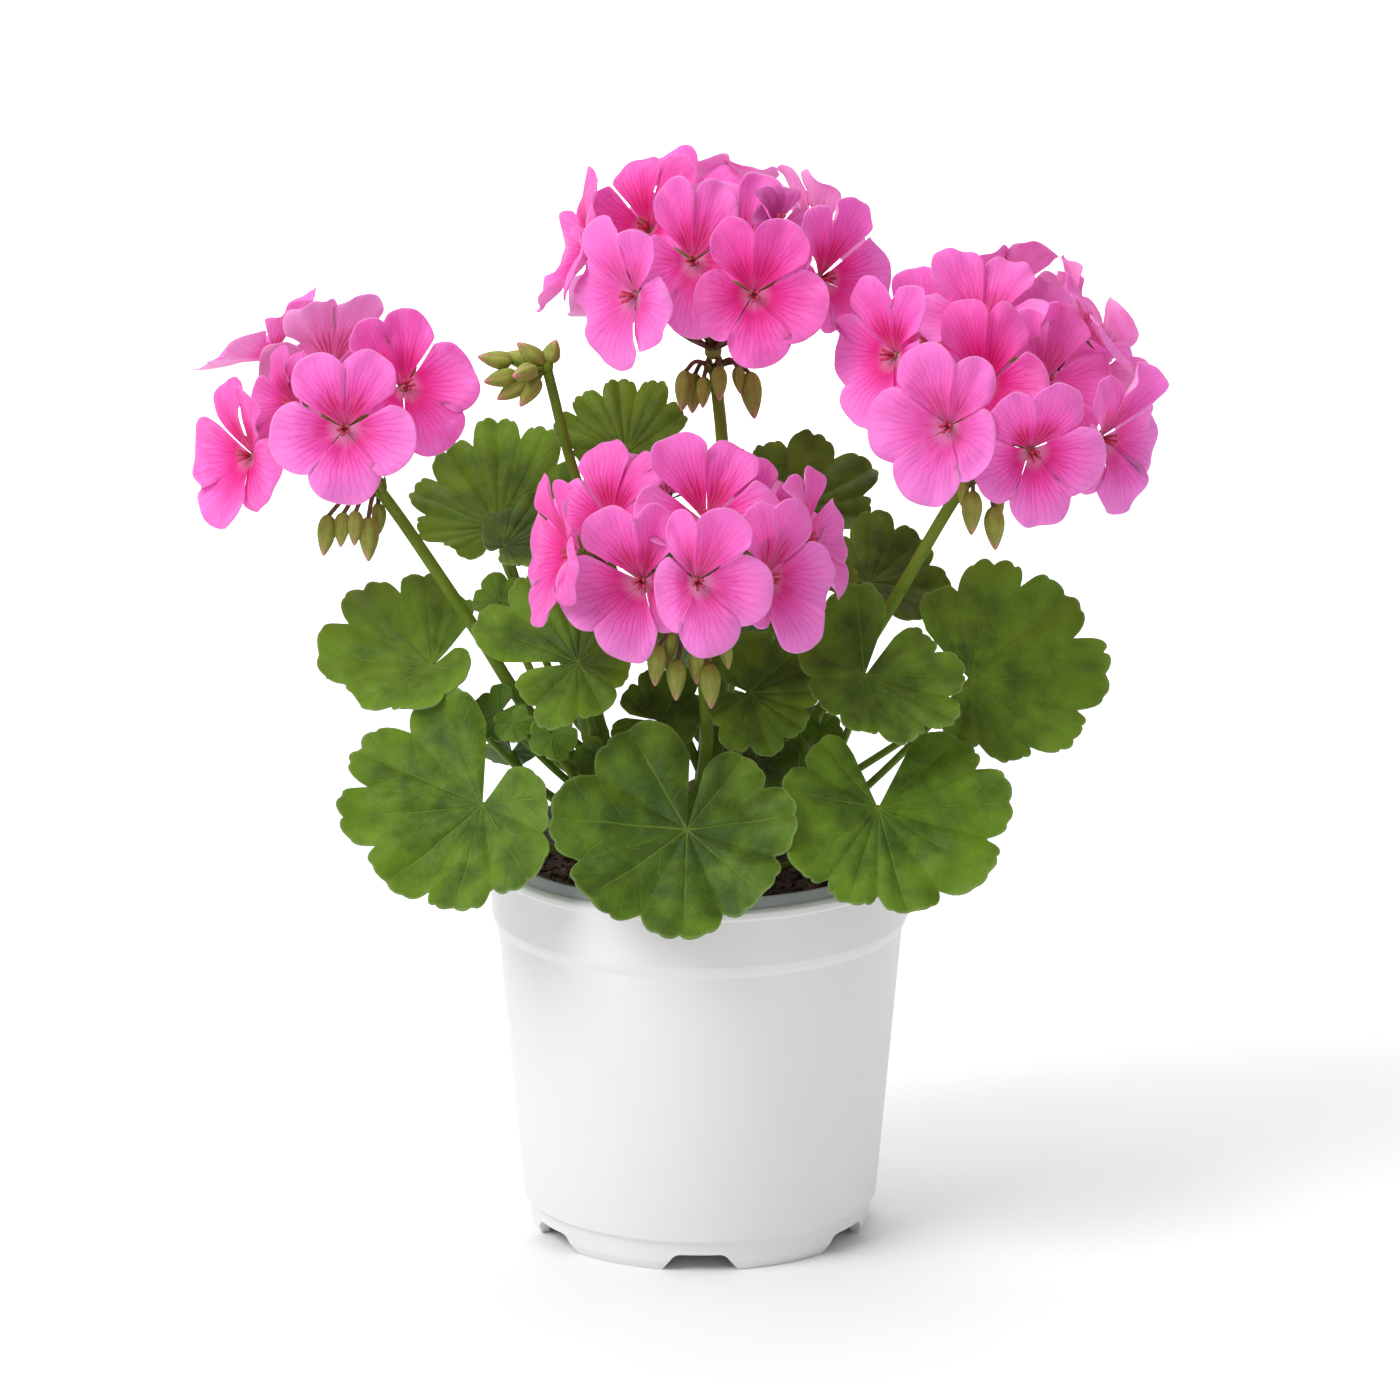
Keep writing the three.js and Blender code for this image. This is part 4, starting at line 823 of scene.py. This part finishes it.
for side, (root, places, umbel, buds) in STALKS.items():
    stalk_mesh = bmesh.new()
    stalk_mesh.loops.layers.uv.new("skin")
    path = stalk_path(root, places, umbel)
    widths = [STALK_WIDTH * (1.06 - 0.12 * i / STALK_STATIONS) for i in range(STALK_STATIONS + 1)]
    sweep(stalk_mesh, path, widths, STALK_SIDES)
    heading = (path[-1] - path[-2]).normalized()
    bracts(stalk_mesh, path[-1], heading)
    for x, y, z, length in buds:
        middle = Vector(umbel) + Vector((x, y, z))
        lean = Vector((x * 0.06, y * 0.06, -length / 2))
        foot, tip = middle - lean, middle + lean
        start = path[-1] + Vector((x, y, 0)).normalized() * 0.8 - heading * 0.6
        thread = smooth_path([start, foot.lerp(start, 0.4) + Vector((0, 0, 2.2)), foot + lean * 0.1], 9)
        sweep(stalk_mesh, thread, [PEDICEL_WIDTH] * len(thread), PEDICEL_SIDES, material=1)
        bud(stalk_mesh, foot, tip, length * BUD_SLENDERNESS)
    bmesh.ops.recalc_face_normals(stalk_mesh, faces=stalk_mesh.faces)
    piece(side + "_stalk_and_buds", stalk_mesh, [stem_green, pedicel_red, bud_green],
          ["flower_stalk_" + side])


# The flower heads: pedicels spread from the umbel and each carries a floret of five thin, silky
# petals that stand on a green calyx, the upper two set close together and streaked with
# magenta at the foot. The petals of a head are one piece; pedicels, calyxes and stamens another.
PETAL_LENGTH = 23
PETAL_THICKNESS = 0.4
PETAL_COLUMNS = 12
PETAL_ROWS = 9
FOOT_SHARE = 0.86
ROUNDING = 0.27
FLATTENING = 0.35
PETAL_HOLLOW = 0.03
CURL = (-4.2, 2.0)
TROUGH = (-0.8, 2.6)
BROAD_WAVE = 4.0
RIM_WAVE = 1.5
DENTS = 1.1
PLEATS = 0.35
UPPER = (1.08, 29.5)
LOWER = (1.0, 43)
PETALS = [
    (-27, *UPPER, 0.1), (27, *UPPER, 0.7), (103, *LOWER, -0.3), (257, *LOWER, -0.1), (181, *LOWER, 0.8),
]
SEPALS = [(59, 1), (301, 1), (140, 0.7), (180, 0.6), (222, 0.7)]
SEPAL_LENGTH = 4.4
CALYX_DEPTH = 4.5
STAMEN_COUNT = 5
STAMEN_LENGTH = 5
PEDICEL_STATIONS = 7
FOLD_DEPTH = 0.8

# Each floret: its middle from the umbel, the bearing and rise that it faces, its turn, its size,
# how far its petals rise like a saucer and, where it is folded back, the share of its width that
# its left and right half keep.
FLORETS = {
    "left": [
        (-6, -26, 21, -92, 10, 0, 1, 0.5), (11, -8, 29, -66, 28, 16, 1, 0.4, 0.8, 1),
        (-34, -16, 10, -150, 8, -4, 1, 0.6, 1, 0.7), (-11, 9, 31, 113, 37, 0, 1, 0.5),
        (-30, 20, 31, 159, 55, 10, 0.95, 0.55), (-21, -4, 22, -140, 22, 0, 0.75, 1, 0.8, 0.7),
        (-13, 34, 12, 112, 14, 0, 1, 0.4),
    ],
    "top": [
        (12, -40, 27, -88, 10, 0, 1, 0.5, 0.8, 1), (-6, -31, 35, -93, 19, 0, 1.05, 0.5, 0.7, 0.8),
        (-23, -45, 28, -138, 1, -6, 1, 0.5, 1, 0.7), (32, -23, 28, -42, 14, 6, 1, 0.7, 0.8, 1),
        (-35, -14, 34, -176, 16, 0, 1, 0.65), (-19, -7, 39, -129, 41, 0, 0.95, 0.7),
        (-5, 8, 36, -96, 58, 0, 0.95, 0.65), (7, 34, 35, 76, 59, 0, 1, 0.5),
        (19, -21, 43, -57, 45, 0, 0.5, 1), (31, 7, 33, 25, 36, 0, 1, 0.5),
        (8, -10, 32, -85, 46, 0, 0.95, 0.8), (-21, 28, 10, 135, 28, 0, 1, 0.6),
        (9, 45, 6, 72, 16, 0, 1, 0.5),
    ],
    "right": [
        (-12, -46, 23, -108, 8, -10, 1.05, 0.65, 1, 0.7),
        (-1, -27, 30, -94, 30, 0, 1.05, 0.85, 0.8, 0.8), (16, -16, 28, -55, 24, 0, 1, 0.55, 0.8, 1),
        (12, -43, 15, -75, -11, 6, 1, 0.55, 0.8, 1), (34, -17, 12, -35, 0, 4, 1, 0.65, 0.8, 1),
        (-28, -31, 41, -141, 11, -4, 1, 0.45, 1, 0.8), (-16, 15, 33, -123, 42, 0, 0.95, 0.6),
        (-1, -1, 40, -92, 60, 0, 0.95, 0.85), (6, 26, 43, 106, 36, 0, 1, 0.4),
        (18, 15, 30, -42, 50, 0, 0.9, 0.65), (30, 0, 40, 8, 33, 0, 1, 0.45),
        (35, 32, 21, 29, 17, 0, 1, 0.45), (-13, 35, 9, 97, 22, 0, 1, 0.4),
        (8, 49, 20, 69, 19, 0, 1, 0.4),
    ],
    "front": [
        (-14, -24, 14, -101, 5, -2, 1.05, 0.75, 1, 0.6), (2, -36, 17, -84, 4, 2, 1, 0.55, 0.55, 1),
        (5, -13, 29, -88, 43, 0, 1, 0.7), (22, -25, 15, -41, 11, 0, 1, 0.6, 0.7, 1),
        (-33, -23, 22, -169, 7, 0, 1, 0.75, 1, 0.8), (-23, 0, 25, -136, 43, 0, 0.95, 0.7),
        (-7, 16, 30, 108, 65, 0, 0.85, 0.35), (20, 3, 23, -26, 38, 0, 0.95, 0.45),
        (33, 3, 19, -13, 18, 0, 0.9, 0.5), (-19, 30, 11, 142, 19, 0, 1, 0.75),
        (19, 28, 10, 55, 14, 0, 1, 0.4),
    ],
}
FULL_SIZE = 0.85


def petal(mesh, middle, length, half, lift, cup, folds, draw):
    """A narrow foot that widens to a round, gently waved blade, made from a small grid."""
    grid = bmesh.ops.create_grid(
        mesh, x_segments=PETAL_COLUMNS, y_segments=PETAL_ROWS, size=0.5,
        matrix=Matrix.Translation((0.5, 0.5, 0)), calc_uvs=True,
    )
    drift = Vector((draw.uniform(0, 50), draw.uniform(0, 50), 0))
    half *= draw.uniform(0.95, 1.05)
    middle += draw.uniform(-2, 2)
    curl = draw.uniform(*CURL)
    trough = draw.uniform(*TROUGH)
    for vert in grid["verts"]:
        across, row = 1 - 2 * vert.co.x, vert.co.y
        widening = FOOT_SHARE + (1 - FOOT_SHARE) * math.sin(min(1, row / 0.7) * math.pi / 2)
        angle = math.radians(middle + half * widening * across)
        rim = 1 - ROUNDING * abs(across) ** 2.6 + 0.05 * noise.noise(Vector((across * 1.7, drift.x, 0)))
        reach = 1 + (length - 1) * row * (1 + (rim - 1) * row)
        rise = cup * reach * (1 - FLATTENING * reach / length)
        rise -= PETAL_HOLLOW * length * row * math.cos(across * 3)
        flat = Vector((reach * math.cos(angle), reach * math.sin(angle), 0))
        wave = BROAD_WAVE * row ** 2 * noise.noise(flat * 0.11 + drift)
        wave += RIM_WAVE * row ** 3 * noise.noise(Vector((across * 3.2, row, drift.x)))
        wave += DENTS * row * noise.noise(flat * 0.26 - drift)
        wave += PLEATS * row * math.cos(math.tau * across * 1.5 + drift.y)
        wave += curl * row ** 4 + trough * row * across ** 2
        fold = folds[0] if flat.y > 0 else folds[1]
        folded_back = FOLD_DEPTH * (1 - fold) * abs(flat.y)
        flat.y *= fold
        vert.co = flat + Vector((0, 0, rise + lift * min(1, row * 3) + wave - folded_back))
    return grid["verts"]


# Across a petal, its pattern runs from 0 at one edge to 1 at the other, and along it from 0 at the
# foot to 1 at the rim.
VEIN_SPACING = 0.045
STRIPE_SPACING = 0.09
BLAZE_RED = (0.36, 0.002, 0.035)
FADED_MAUVE = (0.30, 0.06, 0.24)


def petal_finish(name, foot, body, rim, streak):
    """Silky pink with a pale foot and fine darker veins that fan out to the rim."""
    material = finish(name, body, 0.6, Specular_IOR_Level=0.25, Sheen_Weight=0.05,
                      Subsurface_Weight=0.55, Subsurface_Scale=0.003, Subsurface_Radius=(1, 0.5, 0.8))
    plus, minus, times, ramp, mix = workers(material)
    place = add(material, "SeparateXYZ", add(material, "TexCoord").node.outputs["UV"]).node
    x, y = place.outputs["X"], place.outputs["Y"]
    tone, upper_mark_and_shade, age = (painted(material, kind) for kind in ("tone", "upper_mark_and_shade", "age"))
    colour = mix(ramp(y, 0.12, 0.6), streak, body)
    # Upper petals keep less of the lighter rim colour: painted shade, as they face down and away from the
    # light.
    upper_painted_shade = minus(1.0, times(upper_mark_and_shade, 0.3))
    colour = mix(times(ramp(y, 0.25, 0.95), upper_painted_shade), colour, rim)
    pale = times(ramp(y, 0.05, 0.26, 0.7, 0.0), minus(1.0, times(upper_mark_and_shade, 0.6)))
    colour = mix(pale, colour, foot)
    bend = times(minus(grain(material, 260, 2.0), 0.5), 0.12)
    fan = sums(material, "PINGPONG", plus(x, bend), VEIN_SPACING)
    veins = times(ramp(fan, 0.003, 0.016, 1.0, 0.0), ramp(y, 0.35, 0.98, 0.7, 0.14))
    colour = mix(veins, colour, streak)
    off_middle = sums(material, "ABSOLUTE", minus(x, 0.5))
    blaze = times(ramp(off_middle, 0.26, 0.46, 1.0, 0.0), ramp(y, 0.26, 0.6, 1.0, 0.0))
    stripes = sums(material, "PINGPONG", plus(x, bend), STRIPE_SPACING)
    blaze = times(blaze, ramp(stripes, 0.02, 0.06, 1.0, 0.25))
    colour = mix(times(blaze, plus(times(upper_mark_and_shade, 0.8), 0.15)), colour, BLAZE_RED)
    colour = mix(ramp(tone, 0.45, 0.95, 0.0, 0.4), colour, rim)
    colour = mix(ramp(tone, 0.5, 0.05, 0.0, 0.4), colour, streak)
    colour = mix(times(age, 0.75), colour, FADED_MAUVE)
    dress(material, colour, None, minus(grain(material, 700, 2.0), veins), depth=0.00025, strength=0.5)
    return material


petal_face = petal_finish("petal pink", (0.90, 0.44, 0.62), (0.90, 0.055, 0.39), (0.95, 0.21, 0.63),
                          (0.70, 0.005, 0.19))
petal_back = petal_finish("pale back of petal", (0.92, 0.50, 0.62), (0.96, 0.26, 0.57), (0.97, 0.36, 0.68),
                          (0.92, 0.13, 0.40))
calyx_green = mottled("calyx green", 400, (0.11, 0.15, 0.02), (0.26, 0.30, 0.06), 0.55,
                      Specular_IOR_Level=0.25)
stamen_red = mottled("stamens", 600, (0.40, 0.008, 0.03), (0.66, 0.05, 0.16), 0.5)
throat_pink = mottled("throat of the floret", 900, (0.30, 0.20, 0.08), (0.62, 0.16, 0.26), 0.5)

draw = Random(19)
for side, florets in FLORETS.items():
    umbel = Vector(STALKS[side][2])
    petals = bmesh.new()
    petals.loops.layers.uv.new("petal")
    tone, upper_mark_and_shade, age = (petals.verts.layers.float.new(name) for name in ("tone", "upper_mark_and_shade", "age"))
    inner = bmesh.new()
    bmesh.ops.create_icosphere(inner, subdivisions=2, radius=UMBEL_WIDTH, matrix=Matrix.Translation(umbel))
    for x, y, z, bearing, rise, roll, size, cup, *folds in florets:
        out, down = facing(bearing, rise)
        up = Matrix.Rotation(math.radians(roll), 3, out) @ -down
        middle = umbel + Vector((x, y, z))
        place = seat(up, out, middle)
        shade = draw.random()
        for angle, share, half, lift in PETALS:
            long = PETAL_LENGTH * size * share * draw.uniform(0.97, 1.03)
            verts = petal(petals, angle, long, half, lift, cup, folds or (1, 1), draw)
            for vert in verts:
                vert[tone] = 0.7 * shade + 0.3 * draw.random()
                # Upper petals carry the magenta streaks and also the painted shade.
                vert[upper_mark_and_shade] = 1 if share == UPPER[0] else 0
                vert[age] = max(0, (FULL_SIZE - size) / (FULL_SIZE - 0.5))
            bmesh.ops.transform(petals, matrix=place, verts=verts)
        for angle, share in SEPALS:
            spin = Matrix.Rotation(math.radians(angle), 4, "Z")
            reach = SEPAL_LENGTH * size * share
            leaned = Matrix.Translation((reach, 0, -0.6)) @ Matrix.Rotation(math.radians(80), 4, "Y")
            sepal = place @ spin @ leaned @ Matrix.Diagonal((0.35, 1.1, reach, 1))
            bmesh.ops.create_icosphere(inner, subdivisions=1, radius=1, matrix=sepal)
        bmesh.ops.create_cone(
            inner, cap_ends=True, segments=8, radius1=0.8, radius2=1.9, depth=CALYX_DEPTH,
            matrix=place @ Matrix.Translation((0, 0, -1.9)),
        )
        start = umbel + Vector((x, y, z)).normalized() * (UMBEL_WIDTH - 1)
        end = middle - out * 3.6
        belly = start.lerp(end, 0.5) + Vector((0, 0, -0.06 * (end - start).length))
        path = smooth_path([start, belly, end], PEDICEL_STATIONS)
        sweep(inner, path, [PEDICEL_WIDTH] * len(path), PEDICEL_SIDES, material=1)
        throat = bmesh.ops.create_icosphere(
            inner, subdivisions=1, radius=1.1 * size, matrix=place @ Matrix.Translation((0, 0, 0.7)),
        )
        paint(throat, 3)
        for i in range(STAMEN_COUNT):
            spin = Matrix.Rotation(math.tau * i / STAMEN_COUNT + 0.4, 4, "Z")
            lean = Matrix.Rotation(0.3, 4, "Y") @ Matrix.Translation((0, 0, 3.2))
            filament = bmesh.ops.create_cone(
                inner, cap_ends=True, segments=5, radius1=0.28, radius2=0.62, depth=STAMEN_LENGTH,
                matrix=place @ spin @ lean,
            )
            paint(filament, 2)
    head = ["flower_head_" + side]
    blades = piece(side + "_head_petals", petals, [petal_face, petal_back], head)
    thicken = blades.modifiers.new("thickness", "SOLIDIFY")
    thicken.thickness = PETAL_THICKNESS * MM
    thicken.offset = 0
    thicken.material_offset = 1
    soften = blades.modifiers.new("softness", "SUBSURF")
    soften.levels = soften.render_levels = 1
    bmesh.ops.recalc_face_normals(inner, faces=inner.faces)
    piece(side + "_head_pedicels", inner, [calyx_green, pedicel_red, stamen_red, throat_pink],
          head)


# The young cluster: a flower head that hasn't opened, at the end of its own thin stalk. Its fat
# green buds stand close together on short pedicels round a small knot.
YOUNG_STALK_WIDTH = 1.6
YOUNG_KNOT_WIDTH = 2.3
YOUNG_BUD_LENGTH = 11
YOUNG_BUD_WIDTH = 5.8
YOUNG_ROOT = (3, 0.5, -170)
YOUNG_STALK = [(-18, 14, 184), (-37, 11, 232)]
YOUNG_UMBEL = (-48, 9, 275)
YOUNG_TIPS = [(-21, -4, 4), (-9, -2, 8), (3, 2, 8), (-19, -8, -3), (-15, -6, -9), (-8, -7, -11),
              (-10, -13, 0), (-6, 10, 0), (-14, 7, 2)]

young_mesh = bmesh.new()
young_mesh.loops.layers.uv.new("skin")
path = stalk_path(YOUNG_ROOT, YOUNG_STALK, YOUNG_UMBEL)
sweep(young_mesh, path, [YOUNG_STALK_WIDTH] * len(path), STALK_SIDES)
knot = path[-1]
bmesh.ops.create_icosphere(
    young_mesh, subdivisions=2, radius=YOUNG_KNOT_WIDTH, matrix=Matrix.Translation(knot),
)
for place in YOUNG_TIPS:
    reach = Vector(place)
    foot = knot + reach.normalized() * max(reach.length - YOUNG_BUD_LENGTH, 1)
    tip = knot + reach
    sweep(young_mesh, [knot, knot.lerp(foot, 0.5), foot.lerp(tip, 0.1)], [PEDICEL_WIDTH] * 3,
          PEDICEL_SIDES)
    bud(young_mesh, foot, tip, YOUNG_BUD_WIDTH)
bmesh.ops.recalc_face_normals(young_mesh, faces=young_mesh.faces)
piece("young_bud_cluster", young_mesh, [stem_green, pedicel_red, bud_green],
      ["young_bud_stalk"])


# The room: a plain pale floor under soft light from the upper left, and a long lens that looks a
# little down on the plant from the front.
CAMERA_RISE = math.radians(15.5)
CAMERA_DISTANCE = 3
CAMERA_HEIGHT = 0.1676
LENS = 251
SENSOR_WIDTH = 36
FLOOR_REACH = 12000

floor_mesh = bmesh.new()
bmesh.ops.create_grid(floor_mesh, x_segments=1, y_segments=1, size=FLOOR_REACH)
floor = placed("floor", floor_mesh)
floor.data.materials.append(mottled("pale floor", 3, (0.92, 0.92, 0.92), (0.94, 0.94, 0.94), 0.8))


def aimed(data, place, target):
    """A lamp or a camera that stands at a place and looks at a target."""
    made = bpy.data.objects.new(data.name, data)
    made.location = place
    made.rotation_euler = (target - place).to_track_quat("-Z", "Y").to_euler()
    bpy.context.scene.collection.objects.link(made)
    return made


def soft_light(name, place, target, size, watts, spread=180):
    data = bpy.data.lights.new(name, "AREA")
    data.shape = "DISK"
    data.size = size
    data.energy = watts
    data.spread = math.radians(spread)
    aimed(data, Vector(place), target)


aim = POT_AXIS + Vector((0, 0, CAMERA_HEIGHT))
soft_light("key", (-1.3, -1.05, 1.8), aim, 1.4, 36)
soft_light("top", (0, 0.2, 2.0), aim, 1.2, 8)
soft_light("backdrop", (0, 2.6, 1.9), Vector((0, 2.6, 0)), 3, 90, spread=100)

world = bpy.data.worlds.new("pale room")
world.use_nodes = True
world.node_tree.nodes["Background"].inputs["Color"].default_value = (1, 1, 1, 1)
world.node_tree.nodes["Background"].inputs["Strength"].default_value = 0.5
bpy.context.scene.world = world
bpy.context.scene.view_settings.view_transform = "Standard"

camera_data = bpy.data.cameras.new("camera")
camera_data.lens = LENS
camera_data.sensor_width = SENSOR_WIDTH
camera_data.clip_end = 50
view = Vector((0, -math.cos(CAMERA_RISE), math.sin(CAMERA_RISE)))
camera = aimed(camera_data, aim + view * CAMERA_DISTANCE, aim)
bpy.context.scene.camera = camera
